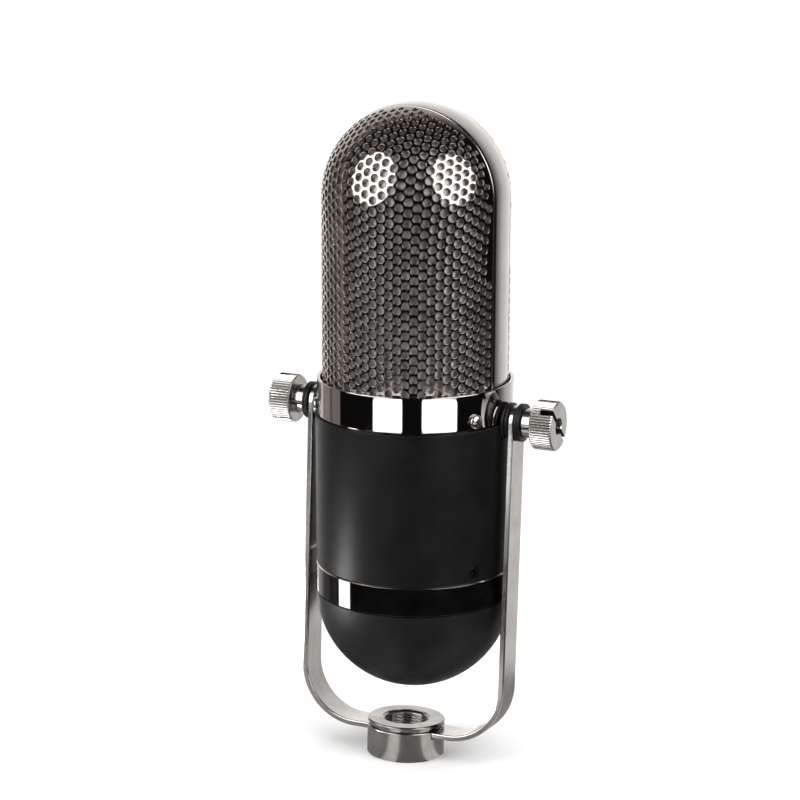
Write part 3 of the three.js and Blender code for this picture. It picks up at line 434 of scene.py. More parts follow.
def yoke_strip():
    """The bent strip with round ends and an eye, as one sweep of a rounded section."""
    flat_bend = HALF_SPAN - BEND
    turn = BEND * PI / 2  # along the outside of a bend
    corner = flat_bend + turn
    rise = PIVOT_MM - (STRIP_BOTTOM + BEND)
    pivot_s = corner + rise
    eye_reach = math.sqrt(EYE**2 - STRIP_HALF**2)

    def half_width(s):
        return max(STRIP_HALF, math.sqrt(max(0.0, EYE**2 - s * s)))

    def at(s, y, depth):
        """A point of the strip: s runs along its outside from the middle, depth goes inwards."""
        side, a = (1 if s >= 0 else -1), abs(s)
        if a <= flat_bend:
            return (side * a, y, STRIP_BOTTOM + depth)
        if a <= corner:
            t = (a - flat_bend) / BEND
            r = BEND - depth
            return (side * (flat_bend + r * math.sin(t)), y, STRIP_BOTTOM + BEND - r * math.cos(t))
        return (side * (HALF_SPAN - depth), y, STRIP_BOTTOM + BEND + (a - corner))

    # Each section point is (side across, inset from the edge, depth from the outside).
    edge = [(0.5, 0), (0.38, 0), (0.2, 0.06), (0.06, 0.2), (0, 0.38), (0, 0.5)]
    walk = edge + [(i, STRIP - d) for i, d in edge[::-1]]
    section = [(1, i, d) for i, d in walk] + [(-1, i, d) for i, d in walk[::-1]]
    # Distances from the middle, closer together in the eye and the bends; both signs are used.
    walk_out = np.concatenate([
        -eye_reach * np.cos(np.linspace(0, PI, 25)),
        np.linspace(eye_reach, flat_bend, 4)[1:],
        flat_bend + np.linspace(0, turn, 33)[1:],
        np.linspace(corner, pivot_s, 24)[1:],
    ])
    stations = sorted({round(float(sign * s), 6) for s in walk_out for sign in (1, -1)})
    ends = [math.radians(a) for a in range(6, 91, 6)]

    def end_loop(sign, t):
        """The section on the round end, at angle t past the pivot."""
        c, s = math.cos(t), math.sin(t)
        radii = [STRIP_HALF - i for _, i, _ in section]
        return [at(sign * (pivot_s + r * s), side * r * c, d) for r, (side, _, d) in zip(radii, section)]

    loops = [end_loop(-1, t) for t in ends[::-1]]
    loops += [[at(s, side * (half_width(s) - i), d) for side, i, d in section] for s in stations]
    loops += [end_loop(1, t) for t in ends]
    return sweep([np.array(loop, float) for loop in loops])


def rod(radius, start, end, steps, axis):
    return lathe([(0, start), (radius, start), (radius, end), (0, end)], steps, axis)


def thread(minor, major, pitch, low, high):
    """A helical thread on the profile points at the minor radius, faded out at both ends."""

    def shape(angle, radius, height):
        fade = np.clip(np.minimum(height - low, high - height) / (0.4 * pitch), 0, 1)
        wave = minor + (major - minor) * fade * (1 + np.cos(TAU * height / pitch - angle)) / 2
        inside = (np.abs(radius - minor) < 1e-6) & (height > low) & (height < high)
        return np.where(inside, wave, np.broadcast_to(radius, (len(angle), radius.shape[1])))

    return shape


def hub():
    recess, bore, seat = STRIP_BOTTOM - CLEAR, SLEEVE + CLEAR, EYE + CLEAR
    body = lathe(soften([
        (bore, 0), (HUB_R - HUB_CHAMFER, 0, 0.15), (HUB_R, HUB_CHAMFER, 0.25),
        (HUB_R, HUB_BODY_TOP, 0.3), (seat, HUB_BODY_TOP, 0.1), (seat, recess), (bore, recess),
    ]), 256)
    notch = block((-HUB_R - 1, -STRIP_HALF - CLEAR, recess), (HUB_R + 1, STRIP_HALF + CLEAR, HUB_TOP))
    piece("hub_outer_body", body, hub_steel.material, "yoke", ["hub_body"], ROW, [notch])

    flange = HUB_TOP - FLANGE
    low, high = HUB_BODY_TOP + GAP, flange - GAP
    ring = lathe(soften([
        (bore, low), (SPACER_R, low, 0.12), (SPACER_R, high, 0.12), (bore, high),
    ]), 192)
    piece("hub_spacer", ring, black_nickel.material, "yoke", ["hub_washer"], ROW)

    mouth = THREAD_MINOR + THREAD_LEAD
    walls = [(THREAD_MINOR, z) for z in np.linspace(HUB_TOP - THREAD_LEAD, THREAD_LEAD, 120)]
    outside = soften([
        (mouth, 0, 0.1), (SLEEVE, 0, 0.2), (SLEEVE, flange, 0.1), (HUB_R, flange, 0.15),
        (HUB_R, HUB_TOP - 0.4, 0.15), (HUB_R - 0.35, HUB_TOP, 0.2), (mouth, HUB_TOP, 0.2),
    ])
    stand = thread(THREAD_MINOR, THREAD_MAJOR, THREAD_PITCH, THREAD_FADE, HUB_TOP - THREAD_FADE)
    bush = lathe(outside + walls, 192, shape=stand)
    piece("hub_bush", bush, hub_steel.material, "yoke", ["threaded_bush"], ROW, sharp=50)


sleeve_hole = rod(SLEEVE + CLEAR, 0, HUB_TOP, 128, "Z")
pivot_hole = turned(rod(STUD_HOLE, -HALF_SPAN - 2, HALF_SPAN + 2, 64, "X"), shifted(0, 0, PIVOT_MM))
piece("yoke_strip", yoke_strip(), yoke_nickel.material, "yoke", ["yoke"], ROW,
      [sleeve_hole, pivot_hole])
hub()

# ---------- Clamp stacks ----------


def knurled(angle, radius, height):
    """Straight knurling: every radius is held under the tooth's outline."""
    phase = (angle * TEETH / TAU) % 1.0
    tooth = np.clip(2.6 * np.abs(phase - 0.5) - 0.15, 0, 1)
    return np.minimum(np.broadcast_to(radius, (len(angle), radius.shape[1])), KNOB_R - KNURL * tooth)


def stud(side, place):
    tip, thread_depth, thread_pitch = 0.5, 0.45, 0.8
    start, end = KNOB_START + 0.2, STUD_OUT - tip - 0.1
    grip = [(STUD_R, x) for x in np.linspace(KNOB_START, STUD_OUT - tip, 90)]
    head = soften([
        (0, STUD_IN), (STUD_HEAD, STUD_IN, 0.4), (STUD_HEAD, STUD_HEAD_END, 0.3), (STUD_R, STUD_HEAD_END),
    ])
    shape = lathe(head + grip + [(STUD_R - tip, STUD_OUT), (0, STUD_OUT)], 72, "X",
                  thread(STUD_R, STUD_R - thread_depth, thread_pitch, start, end))
    piece(f"stud_{side}", shape, stud_steel.material, "microphone", [f"pivot_stud_{side}"],
          place, sharp=50)


def grommets(side, place):
    """The rubber washers on both sides of the yoke's arm, each with a groove round its edge."""
    start, groove, edge = IN_FACE - 3, 0.7, IN_FACE - 0.9
    inner = lathe(soften([
        (STUD_HOLE, start), (WASHER, start), (WASHER, edge - 0.5, 0.45), (WASHER - groove, edge - 0.2, 0.1),
        (WASHER - groove, edge, 0.1), (WASHER, edge + 0.25, 0.25), (WASHER, IN_FACE - 0.02, 0.3),
        (STUD_HOLE, IN_FACE),
    ]), 128, "X")
    casing_hole = rod(SHELL_TOP_R + CLEAR, -2 * WASHER, 2 * WASHER, 256, "Z")
    piece(f"inner_grommet_{side}", inner, rubber.material, "microphone", [f"inner_washer_{side}"],
          place, [casing_hole])

    waist = (OUT_START + OUT_END) / 2 + 0.1
    outer = lathe(soften([
        (STUD_HOLE, OUT_START, 0.1), (WASHER, OUT_START, 0.5), (WASHER, waist - 0.15, 0.25),
        (WASHER - 0.35, waist, 0.1), (WASHER, waist + 0.15, 0.25), (WASHER, OUT_END, 0.5),
        (STUD_HOLE, OUT_END, 0.1),
    ], 5), 128, "X")
    piece(f"outer_grommet_{side}", outer, rubber.material, f"washer_{side}", [f"outer_washer_{side}"],
          place)


def knob(side, place, slot_angle):
    bore_chamfer = 0.3
    body = lathe(soften([
        (STUD_HOLE, KNOB_START), (NECK, KNOB_START, 0.25), (NECK, KNOB_FACE, 0.2),
        (KNOB_R - KNOB_CHAMFER, KNOB_FACE, 0.1), (KNOB_R, KNOB_FACE + KNOB_CHAMFER, 0.2),
        (KNOB_R, KNOB_END - KNOB_CHAMFER, 0.2), (KNOB_R - KNOB_CHAMFER, KNOB_END, 0.15),
        (STUD_HOLE + bore_chamfer, KNOB_END, 0.1), (STUD_HOLE, KNOB_END - bore_chamfer, 0.1),
    ]), TEETH * 10, "X", knurled)
    slot_floor = KNOB_END - SLOT_DEPTH
    slot = turned(
        block((slot_floor, -KNOB_R - 1, -SLOT_HALF), (KNOB_END + 1, KNOB_R + 1, SLOT_HALF)),
        about_x(-slot_angle),
    )
    obj = piece(f"knurled_knob_{side}", body, bright_nickel.material, f"knob_{side}",
                [f"clamp_knob_{side}"], place, [slot], sharp=28)
    obj.data.materials.append(painted_slot_shadow.material)
    obj.data.materials.append(painted_groove_shade.material)
    to_slot = about_x(slot_angle) @ place.inverted()
    painted_shade_radius = KNOB_R - 0.6 * KNURL
    for face in obj.data.polygons:
        x, y, z = to_slot @ face.center / MM
        # The slot's sides and floor get the near-black: painted shadow.
        if slot_floor - 0.01 < x < KNOB_END - 0.02 and abs(z) < SLOT_HALF + 0.01:
            face.material_index = 1
        # Faces down between the knurl's teeth get the darker nickel: painted shade in the grooves.
        elif KNOB_FACE + 0.3 < x < KNOB_END - 0.3 and NECK < math.hypot(y, z) < painted_shade_radius:
            face.material_index = 2


def clamp_stack(side, slot_angle):
    place = MIC @ about_z(180) if side == "left" else MIC
    stud(side, place)
    grommets(side, place)
    knob(side, place, slot_angle)


clamp_stack("right", 45)
clamp_stack("left", 90)

# ---------- Casing ----------
stud_holes = rod(STUD_HOLE + 0.15, -SHELL_TOP_R - 2, SHELL_TOP_R + 2, 48, "X")


def on_bearing(shape, bearing, height):
    """Turns a shape that points out along +X to a bearing from the front."""
    return turned(shape, shifted(0, 0, height) @ about_z(bearing - 90))


def gloss_band():
    """The glossy ring between shell and cap, with bright metal on its chamfers as a painted highlight."""
    top, lip, shoulder = SHELL_LOW - GAP, BAND_LOW - BAND_LIP, BAND_R - BAND_CHAMFER
    band = lathe(soften([
        (BAND_INNER, lip), (BAND_SEAT, lip), (BAND_SEAT, BAND_LOW), (shoulder, BAND_LOW, 0.05),
        (BAND_R, BAND_LOW + BAND_CHAMFER, 0.05), (BAND_R, top - BAND_CHAMFER, 0.05), (shoulder, top, 0.05),
        (SPIGOT, top), (SPIGOT, top + BAND_LAP), (BAND_INNER, top + BAND_LAP),
    ]), 320)
    screw_hole = rod(FLAT_SHANK + CLEAR, BAND_INNER - 1, RING_R + 2, 32, "X")
    obj = piece("gloss_band", band, gloss_black.material, "microphone", ["lower_band"],
                cuts=[on_bearing(screw_hole, b, SHELL_SCREW_Z) for b in SCREW_BEARINGS])
    # The chamfer faces get the bright metal: painted highlight on the band's edges.
    obj.data.materials.append(band_edge_highlight.material)
    upright = MIC.inverted()
    for face in obj.data.polygons:
        x, y, _ = upright @ face.center / MM
        tilt = abs((upright.to_3x3() @ face.normal).z)
        if math.hypot(x, y) > shoulder - 0.05 and 0.3 < tilt < 0.95:
            face.material_index = 1


def casing():
    edge = 0.3
    inner = RING_R - RING_LIP
    ring = lathe(soften([
        (SPIGOT_IN, SPIGOT_LOW), (SPIGOT, SPIGOT_LOW), (SPIGOT, GAP), (RING_R, GAP, edge),
        (RING_R, RING_TOP, edge), (inner, RING_TOP, edge), (inner, SHELF, 0.1), (SPIGOT_IN, SHELF),
    ]), 320)
    screw_hole = rod(PAN_SHANK + CLEAR, SPIGOT_IN - 1, RING_R + 2, 32, "X")
    holes = [on_bearing(screw_hole, b, RING_SCREW_Z) for b in SCREW_BEARINGS]
    piece("collar", ring, black_nickel.material, "microphone", ["collar_ring"],
          cuts=[stud_holes, *holes])

    shell = lathe(soften([
        (SHELL_IN, SHELL_LOW), (SHELL_LOW_R, SHELL_LOW, edge), (SHELL_TOP_R, -GAP, edge), (SHELL_IN, -GAP),
    ]), 320)
    socket_hole = turned(rod(SOCKET_R + CLEAR, 0, SOCKET_MOUTH, 96, "Y"), shifted(0, 0, SOCKET_Z))
    sinks = [on_bearing(countersunk(CLEAR, 2.0), b, SHELL_SCREW_Z) for b in SCREW_BEARINGS]
    piece("shell", shell, satin_black.material, "microphone", ["body_shell"],
          cuts=[stud_holes, socket_hole, *sinks])

    gloss_band()

    centre = BAND_LOW - GAP
    cap = lathe(arc(CAP_R, centre, 0, -90, 64) + arc(CAP_R - CAP_WALL, centre, -90, 0, 24), 256)
    piece("end_cap", cap, matte_black.material, "microphone", ["bottom_cap"])


def countersunk(margin, reach):
    """A flat-head screw, or with a margin the sink for it, open for reach times the margin beyond."""
    head, shank, sink = FLAT_HEAD + margin, FLAT_SHANK + margin, FLAT_SINK + margin
    end = FLAT_FACE + reach * margin
    return lathe(soften([
        (0, FLAT_TIP), (shank, FLAT_TIP), (shank, FLAT_FACE - sink),
        (head, FLAT_FACE, 0.0 if margin else 0.05),
        *([(head, end)] if margin else []), (0, end),
    ]), 48, "X")


def cross(x, depth, half):
    """The two bars of a cross recess, cut to a depth under a screw's crown at x."""
    width = CROSS_HALF_WIDTH
    return [block((x - depth, -half, -width), (x + 1, half, width)),
            block((x - depth, -width, -half), (x + 1, width, half))]


def screws():
    seat = RING_R + 0.1
    dome = [(PAN_HEAD * math.cos(a) ** 0.8, seat + PAN_EDGE + (PAN_CROWN - PAN_EDGE) * math.sin(a))
            for a in np.radians(np.linspace(0, 90, 14))]
    shank = [(0, PAN_TIP), (PAN_SHANK, PAN_TIP), (PAN_SHANK, seat)]
    pan = lathe(shank + [(PAN_HEAD - 0.05, seat), (PAN_HEAD, seat + 0.06)] + dome, 64, "X")
    flat = countersunk(0, 0)
    pan_recess, flat_recess = cross(seat + PAN_CROWN, 0.9, 1.3), cross(FLAT_FACE, 0.7, 1.0)
    kinds = (
        ("pan_screw", "ring_screw", pan, pan_recess, RING_SCREW_Z, bright_nickel, "bright_nickel"),
        ("flat_screw", "shell_screw", flat, flat_recess, SHELL_SCREW_Z, screw_steel, "satin_black"),
    )
    for i, bearing in enumerate(SCREW_BEARINGS, 1):
        for name, node, shape, recess, z, finish, slot in kinds:
            piece(f"{name}_{i}", on_bearing(shape, bearing, z), finish.material, "microphone",
                  [f"{node}_{i}"], cuts=[on_bearing(c, bearing, z) for c in recess])


casing()
screws()


def socket():
    ledge, back, seat = SOCKET_IN - 1.4, 12.5, INSERT_BACK - CLEAR
    flange, flange_back, flange_front = 14.0, 25.0, 27.0
    lift = shifted(0, 0, SOCKET_Z)
    barrel = lathe(soften([
        (ledge, back), (SOCKET_R, back), (SOCKET_R, flange_back), (flange, flange_back, 0.2),
        (flange, flange_front, 0.2), (SOCKET_R, flange_front), (SOCKET_R, SOCKET_MOUTH, 0.4),
        (SOCKET_IN, SOCKET_MOUTH, 0.25), (SOCKET_IN, seat), (ledge, seat),
    ]), 160, "Y")
    piece("outlet_barrel", turned(barrel, lift), black_nickel.material, "microphone", ["socket_barrel"])
    insert_r = SOCKET_IN - CLEAR
    insert = lathe(soften([
        (0, INSERT_BACK), (insert_r, INSERT_BACK), (insert_r, INSERT_FRONT, 0.3), (0, INSERT_FRONT),
    ]), 128, "Y")
    angles = [math.radians(a) for a in (30, 150, 270)]
    spots = [(PIN_CIRCLE * math.cos(a), 0, SOCKET_Z + PIN_CIRCLE * math.sin(a)) for a in angles]
    pin_hole = rod(PIN_R + CLEAR, INSERT_BACK - 1, INSERT_FRONT + 1, 40, "Y")
    piece("outlet_insert", turned(insert, lift), plastic.material, "microphone", ["contact_insert"],
          cuts=[turned(pin_hole, shifted(*spot)) for spot in spots])
    pin = lathe(soften([(0, PIN_TAIL), (PIN_R, PIN_TAIL), (PIN_R, PIN_TIP, 0.9), (0, PIN_TIP)]), 48, "Y")
    for i, spot in enumerate(spots, 1):
        piece(f"outlet_pin_{i}", turned(pin, shifted(*spot)), bright_nickel.material, "microphone",
              [f"contact_pin_{i}"])


socket()

# ---------- Grille ----------


def capsule_direction(u, v):
    """Outward direction and centre height of the capsule for flat sheet coordinates: across and up
    on the tube, and polar about the dome's front above it."""
    w = np.maximum(v - DOME, 0.0)
    rho = np.hypot(u, w)
    theta = rho / GRILLE_R
    on_dome = v > DOME
    ratio = np.where(rho > 1e-9, np.sin(theta) / np.maximum(rho, 1e-9), 1 / GRILLE_R)
    x = np.where(on_dome, ratio * u, np.sin(u / GRILLE_R))
    y = np.where(on_dome, -np.cos(theta), -np.cos(u / GRILLE_R))
    z = np.where(on_dome, ratio * w, 0.0)
    return np.stack([x, y, z], -1), np.minimum(v, DOME)


def hole_layout():
    """Hole centres and radii in the flat sheet: upright staggered columns, stretched where the
    sheet was drawn over the dome."""
    rows = [7.9, 11.1, 14.39, 17.64, 20.9, 23.95, 27.2, 30.3, 33.5, 36.6, 40.0, 43.3, 46.5, 49.8, 53.1, 56.4,
            59.7, 62.95, 66.3, 69.7, 73.1, 76.7, 80.3, 83.8, 87.3, 90.7, 94.0, 97.2, 100.4, 103.5, 106.6,
            109.7, 112.8]
    # Heights in the sheet, and the column spacing and the hole radius at each.
    spacing = ([0, 45, 58, 64, 70.5, 82, 107], [2.70, 2.72, 2.755, 2.81, 2.90, 3.05, 3.13])
    size = ([0, 60, 74, 80, 90, 104, 114], [1.25, 1.26, 1.32, 1.35, 1.31, 1.2, 1.15])
    rim = GRILLE_R * math.acos((ARCH_HALF + CLEAR) / GRILLE_R)
    rim_margin, foot_margin = 0.75, 2
    found = []
    for column in range(-16, 16):
        for b in np.arange(0, len(rows) - 1, 1.0) + (0.5 if column % 2 else 0.0):
            v = float(np.interp(b, range(len(rows)), rows))
            u = float(np.interp(v, *spacing)) * (column + 0.5)
            r = float(np.interp(v, *size))
            reach = abs(u) if v < DOME else math.hypot(u, v - DOME)
            if reach + r < rim - rim_margin and v - r > GRILLE_LOW + foot_margin:
                found.append((u, v, r))
    return np.array(found)


HOLES = hole_layout()
HOLE_STEPS = 16
NOTCH_R = 1.5  # in the foot, round each ring screw
# The sheet's section at a hole or rim: inset from the edge, depth under the outside, and the angle
# by which the surface has turned from facing outwards.
SECTION = [
    (0.14, 0.0, 0), (0.07, 0.019, 30), (0.019, 0.07, 60), (0.0, 0.14, 90), (0.0, 0.8, 90), (0.1, 0.9, 180),
]


def rim_loop(inset, depth, notches):
    """The half's outline in the flat sheet, anticlockwise from the bottom left."""
    reach = GRILLE_R * math.acos((ARCH_HALF + CLEAR + inset) / (GRILLE_R - depth))

    def foot(u):
        off = [u - n for n in notches if abs(u - n) < NOTCH_R]
        return max([GRILLE_LOW, *(RING_SCREW_Z + math.sqrt(NOTCH_R**2 - x**2) for x in off)]) + inset

    bottom = [(u, foot(u)) for u in np.linspace(-reach, reach, 121)]
    right = [(reach, v) for v in np.linspace(GRILLE_LOW + inset, DOME, 60)[1:]]
    top = [(reach * math.cos(a), DOME + reach * math.sin(a)) for a in np.linspace(0, PI, 121)[1:]]
    left = [(-reach, v) for v in np.linspace(DOME, GRILLE_LOW + inset, 60)[1:-1]]
    return np.array(bottom + right + top + left)


def grille_half(name, node, turn, notches):
    """Half of the perforated case: its outer skin and its inner skin share one triangulation of the
    flat sheet, and each hole and the rim are joined through the layers of SECTION."""
    around = np.linspace(0, TAU, HOLE_STEPS, endpoint=False)
    compass = np.stack([np.cos(around), np.sin(around)], -1)
    outline = [rim_loop(inset, depth, notches) for inset, depth, _ in SECTION]
    n_rim, n_holes = len(outline[0]), len(HOLES)
    n_layer = n_rim + n_holes * HOLE_STEPS
    along_rim = np.gradient(outline[0], axis=0)
    off_rim = np.stack([along_rim[:, 1], -along_rim[:, 0]], -1)
    probe = 0.02
    flats, layers, normals = [], [], []
    for (inset, depth, tilt), rim in zip(SECTION, outline):
        circles = HOLES[:, None, :2] + (HOLES[:, None, 2:] + inset) * compass[None]
        flat = np.concatenate([rim, circles.reshape(-1, 2)])
        out, centre = capsule_direction(flat[:, 0], flat[:, 1])
        points = out * (GRILLE_R - depth)
        points[:, 2] += centre
        flats.append(flat)
        layers.append(points)
        # Outward across the sheet at each point: towards the hole's middle, or off the rim.
        beyond = np.concatenate([rim + off_rim * probe, (circles - compass[None] * probe).reshape(-1, 2)])
        ahead, ahead_centre = capsule_direction(beyond[:, 0], beyond[:, 1])
        step = ahead * (GRILLE_R - depth) - out * (GRILLE_R - depth)
        step[:, 2] += ahead_centre - centre
        step /= np.linalg.norm(step, axis=1)[:, None] + 1e-12
        t = math.radians(tilt)
        normals.append(out * math.cos(t) + step * math.sin(t))

    loops = [list(range(n_rim))]
    loops += [[n_rim + h * HOLE_STEPS + k for k in range(HOLE_STEPS)] for h in range(n_holes)]
    edges = [(loop[i], loop[(i + 1) % len(loop)]) for loop in loops for i in range(len(loop))]
    _, _, skin, origin, _, _ = delaunay_2d_cdt([Vector(p) for p in flats[0]], edges, [], 1, 1e-6)
    owner = np.concatenate([np.full(n_rim, -1), np.repeat(np.arange(n_holes), HOLE_STEPS)])
    faces = []
    last = (len(SECTION) - 1) * n_layer
    for face in skin:
        a, b, c = (origin[i][0] for i in face)
        fills_hole = owner[a] >= 0 and owner[a] == owner[b] == owner[c]
        if not fills_hole:
            faces += [(a, b, c), (a + last, c + last, b + last)]
    for base in range(0, last, n_layer):
        for loop in loops:
            for i, start in enumerate(loop):
                a, b = base + start, base + loop[(i + 1) % len(loop)]
                quad = (a, b, b + n_layer, a + n_layer)
                faces.append(quad[::-1] if loop is loops[0] else quad)

    mesh = bpy.data.meshes.new(name)
    place = MIC @ about_z(turn)
    mesh.from_pydata(placed(np.concatenate(layers), place).tolist(), [], faces)
    mesh.shade_smooth()
    outward = np.concatenate(normals) @ np.array(place.to_3x3()).T
    mesh.normals_split_custom_set_from_vertices(outward.tolist())
    obj = bpy.data.objects.new(name, mesh)
    bpy.context.scene.collection.objects.link(obj)
    mesh.materials.append(grille_nickel.material)
    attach(obj, "microphone")
    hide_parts(node)


around_case = GRILLE_R * math.radians(60)
grille_half("perforated_front", "grille_front", 0, [-around_case, around_case])
grille_half("perforated_rear", "grille_rear", 180, [0.0])


def arch():
    """The smooth strip over the top, swept along its own length."""
    corner = 0.35
    edge = [(corner, 0), (0.1, 0.1), (0, corner)]
    walk = edge + [(i, ARCH_WALL - d) for i, d in edge[::-1]]
    across = np.linspace(1, -1, 13)[1:-1] * (ARCH_HALF - corner)
    # The section, as (distance across, depth under the outside).
    loop = [(ARCH_HALF - i, d) for i, d in walk] + [(y, ARCH_WALL) for y in across]
    loop += [(i - ARCH_HALF, d) for i, d in walk[::-1]] + [(-y, 0.0) for y in across]

    def rib(angle, z):
        """The section at an angle from the top, its centre at z from the dome's."""
        reach = [math.sqrt((GRILLE_R - d) ** 2 - y * y) for y, d in loop]
        return [(r * math.sin(angle), y, DOME + z + r * math.cos(angle)) for r, (y, _) in zip(reach, loop)]

    leg = DOME - GRILLE_LOW
    ribs = [rib(-PI / 2, z) for z in np.linspace(-leg, 0, 30)[:-1]]
    ribs += [rib(a, 0) for a in np.linspace(-PI / 2, PI / 2, 97)]
    ribs += [rib(PI / 2, z) for z in np.linspace(0, -leg, 30)[1:]]
    shape = sweep([np.array(p, float) for p in ribs])
    piece("arch_strip", shape, arch_nickel.material, "microphone", ["grille_arch"],
          cuts=[stud_holes])


arch()

screen_in = SCREEN_R - SCREEN_WALL
screen = lathe(
    [(SCREEN_R, SCREEN_LOW), (SCREEN_R, 40)] + arc(SCREEN_R, DOME, 0, 90, 48)
    + arc(screen_in, DOME, 90, 0, 32) + [(screen_in, SCREEN_LOW)], 192)
piece("woven_screen", screen, screen_steel.material, "microphone", ["wind_screen"])

# ---------- Finishes of the inner parts ----------
INNER = {
    soft_iron: ["motor_frame", "pole_piece_left", "pole_piece_right", "transformer_core"],
    magnet_grey: ["magnet_left", "magnet_right"],
    aluminium: ["ribbon", "motor_pedestal", "chassis_plate"],
    brass: ["ribbon_clamp_top", "ribbon_clamp_bottom"],
    copper: ["transformer_coil", "ribbon_lead_top", "ribbon_lead_bottom", "output_lead_left",
             "output_lead_right"],
    hub_steel: ["transformer_strap"],
    rubber: ["shock_mount_left", "shock_mount_right"],
}
for finish, nodes in INNER.items():
    for node in nodes:
        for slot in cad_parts[node].material_slots:
            slot.material = finish.material

# ---------- Studio: metres from here, except in card() ----------
CAMERA_AT = (0.318277, -0.734377, 0.268688)
# Degrees: from the front towards the right, down, and anticlockwise about the line of sight
CAMERA_BEARING, CAMERA_DOWN, CAMERA_ROLL = 23.8024, 10.3894, 1.5934
camera = bpy.data.objects.new("camera", bpy.data.cameras.new("camera"))
camera.data.sensor_width = 36
camera.data.lens = 109.94
camera.data.clip_start, camera.data.clip_end = 0.05, 200
camera.matrix_world = (
    shifted(*CAMERA_AT) @ about_z(CAMERA_BEARING) @ about_x(90 - CAMERA_DOWN) @ about_z(CAMERA_ROLL)
)
bpy.context.scene.collection.objects.link(camera)
bpy.context.scene.camera = camera


def glow(name, colour, strength):
    material = bpy.data.materials.new(name)
    material.use_nodes = True
    tree = material.node_tree
    tree.nodes.clear()
    light = add_node(tree, "ShaderNodeEmission", {"Color": (*colour, 1), "Strength": strength})
    add_node(tree, "ShaderNodeOutputMaterial", {"Surface": light.outputs[0]})
    return material


def stage_mesh(name, verts, faces, material, camera_sees=True, gloss_sees=True, lights=True):
    mesh = bpy.data.meshes.new(name)
    mesh.from_pydata(verts, [], faces)
    mesh.materials.append(material)
    obj = bpy.data.objects.new(name, mesh)
    bpy.context.scene.collection.objects.link(obj)
    obj.visible_camera, obj.visible_glossy = camera_sees, gloss_sees
    obj.visible_diffuse, obj.visible_shadow = lights, lights


def card(name, radius, bearings, lows, highs, strength, colour=(1, 1, 1), corner=0.0):
    """A curved reflector round the object, in millimetres, seen only in its gloss. Bearings are from
    the front; lows and highs are its heights at the two bearings."""
    columns = 24
    width = abs(math.radians(bearings[1] - bearings[0])) * radius
    verts, faces = [], []
    for k in range(columns + 1):
        t = k / columns
        a = math.radians(bearings[0] + t * (bearings[1] - bearings[0]))
        low = lows[0] + t * (lows[1] - lows[0])
        high = highs[0] + t * (highs[1] - highs[0])
        inward = corner - min(min(t, 1 - t) * width, corner)
        trim = corner - math.sqrt(max(0.0, corner**2 - inward**2))
        x, y = radius * math.sin(a) * MM, -radius * math.cos(a) * MM
        verts += [(x, y, (low + trim) * MM), (x, y, (high - trim) * MM)]
    for k in range(columns):
        faces.append((2 * k, 2 * k + 2, 2 * k + 3, 2 * k + 1))
    stage_mesh(name, verts, faces, glow(name, colour, strength), camera_sees=False, lights=False)


def circle(radius, steps=96):
    angles = [TAU * k / steps for k in range(steps)]
    return [(radius * math.cos(a), radius * math.sin(a), 0) for a in angles]


floor = Finish("pale_floor", Roughness=0.9, Specular_IOR_Level=0.1)
tint = floor.noise(0.004, 2.0)
floor.drive("Base Color", floor.blend(tint, (0.9, 0.9, 0.9), (0.93, 0.93, 0.93)))
NEAR_FLOOR, FAR_FLOOR, GLOSS_FLOOR, WHITE_OUT = 0.55, 40, 0.13, 1.05
near_rim, far_rim = circle(NEAR_FLOOR), circle(FAR_FLOOR)
n = len(near_rim)
stage_mesh("floor_near", near_rim, [tuple(range(n))], floor.material, gloss_sees=False)
stage_mesh("floor_far", near_rim + far_rim,
           [(k, n + k, n + (k + 1) % n, (k + 1) % n) for k in range(n)],
           glow("floor_far", (1, 1, 1), WHITE_OUT), gloss_sees=False, lights=False)
# What the gloss sees of the floor close by: sectors of (start bearing, end bearing, brightness).
FLOOR_SECTORS = (
    (-120, -20, 0.3), (-20, 8, 0.95), (8, 62, 0.22), (62, 96, 0.9), (96, 150, 0.3), (150, 240, 0.6),
)
for i, (start, end, level) in enumerate(FLOOR_SECTORS):
    bearings = np.radians(np.linspace(start, end, 13))
    verts = [(0, 0, 0)] + [(GLOSS_FLOOR * math.sin(b), -GLOSS_FLOOR * math.cos(b), 0) for b in bearings]
    stage_mesh(f"floor_in_gloss_{i}", verts, [(0, k, k + 1) for k in range(1, 13)],
               glow(f"floor_in_gloss_{i}", (1, 0.98, 0.96), level), camera_sees=False, lights=False)


def direction(bearing, elevation):
    b, e = math.radians(bearing), math.radians(elevation)
    return Vector((math.sin(b) * math.cos(e), -math.cos(b) * math.cos(e), math.sin(e)))


def softbox(name, bearing, elevation, distance, size, watts, gloss_sees=True):
    """A round light that faces the aim point from a bearing and elevation."""
    aim = Vector((0, 0, 0.19))
    light = bpy.data.lights.new(name, "AREA")
    light.shape, light.size, light.energy = "DISK", size, watts
    obj = bpy.data.objects.new(name, light)
    towards = direction(bearing, elevation)
    turn = towards.to_track_quat("Z", "Y").to_matrix().to_4x4()
    obj.matrix_world = Matrix.Translation(towards * distance + aim) @ turn
    obj.visible_camera, obj.visible_glossy = False, gloss_sees
    bpy.context.scene.collection.objects.link(obj)


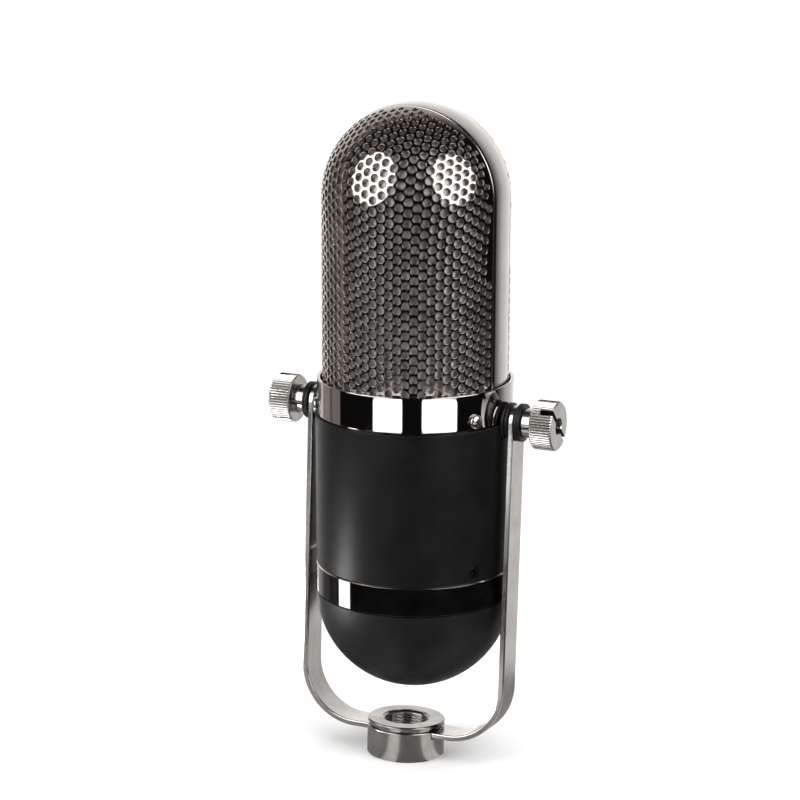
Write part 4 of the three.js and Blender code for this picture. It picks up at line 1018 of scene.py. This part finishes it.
softbox("softbox_left", -35, 20, 1.2, 1.3, 15)
softbox("softbox_right", 73, 23, 1.2, 1.27, 15)
softbox("overhead", 0, 89, 2.0, 2.5, 45, gloss_sees=False)

card("card_left", 300, (-23.8, 9.6), (31.6, 31.6), (48.0, 48.0), 4.0, corner=1.5)
card("card_left_low", 300, (-34, -26), (0.0, 0.0), (30, 30), 0.8)
card("card_right", 300, (31.4, 71.0), (34.4, 43.2), (50.2, 58.6), 4.0, corner=1.5)
card("card_band", 150, (-68.0, -51.0), (3, 3), (23, 23), 45.0)
card("card_side", 900, (-88.4, -73.2), (-400, -400), (500, 500), 0.32, colour=(1, 0.92, 0.88))
card("card_side_rear", 900, (-111, -97), (-400, -400), (500, 500), 0.4, colour=(1, 0.94, 0.88))

# The world lights the object from behind it, as the camera sees it, and is white to the camera.
world = bpy.data.worlds.new("studio")
bpy.context.scene.world = world
world.use_nodes = True
sky = world.node_tree
sky.nodes.clear()
behind = -direction(CAMERA_BEARING, 0)
look = add_node(sky, "ShaderNodeTexCoord").outputs["Generated"]
facing = add_node(sky, "ShaderNodeVectorMath", {0: look, 1: behind}, operation="DOT_PRODUCT")
ramp = add_node(sky, "ShaderNodeValToRGB", {"Fac": facing.outputs["Value"]})
stops = [(0.0, 0.008), (0.35, 0.012), (0.50, 0.35), (0.62, 0.75), (0.80, 0.95), (0.97, 1.3)]
while len(ramp.color_ramp.elements) < len(stops):
    ramp.color_ramp.elements.new(0.5)
for element, (position, level) in zip(ramp.color_ramp.elements, stops):
    element.position = position
    element.color = (level, level * 0.98, level * 0.965, 1)
lighting = add_node(sky, "ShaderNodeBackground", {"Color": ramp.outputs["Color"], "Strength": 1.0})
backdrop = add_node(sky, "ShaderNodeBackground", {"Color": (1, 1, 1, 1), "Strength": WHITE_OUT})
seen = add_node(sky, "ShaderNodeLightPath").outputs["Is Camera Ray"]
mixed = add_node(sky, "ShaderNodeMixShader", {0: seen, 1: lighting.outputs[0], 2: backdrop.outputs[0]})
add_node(sky, "ShaderNodeOutputWorld", {"Surface": mixed.outputs[0]})

bpy.context.scene.view_settings.view_transform = "Standard"
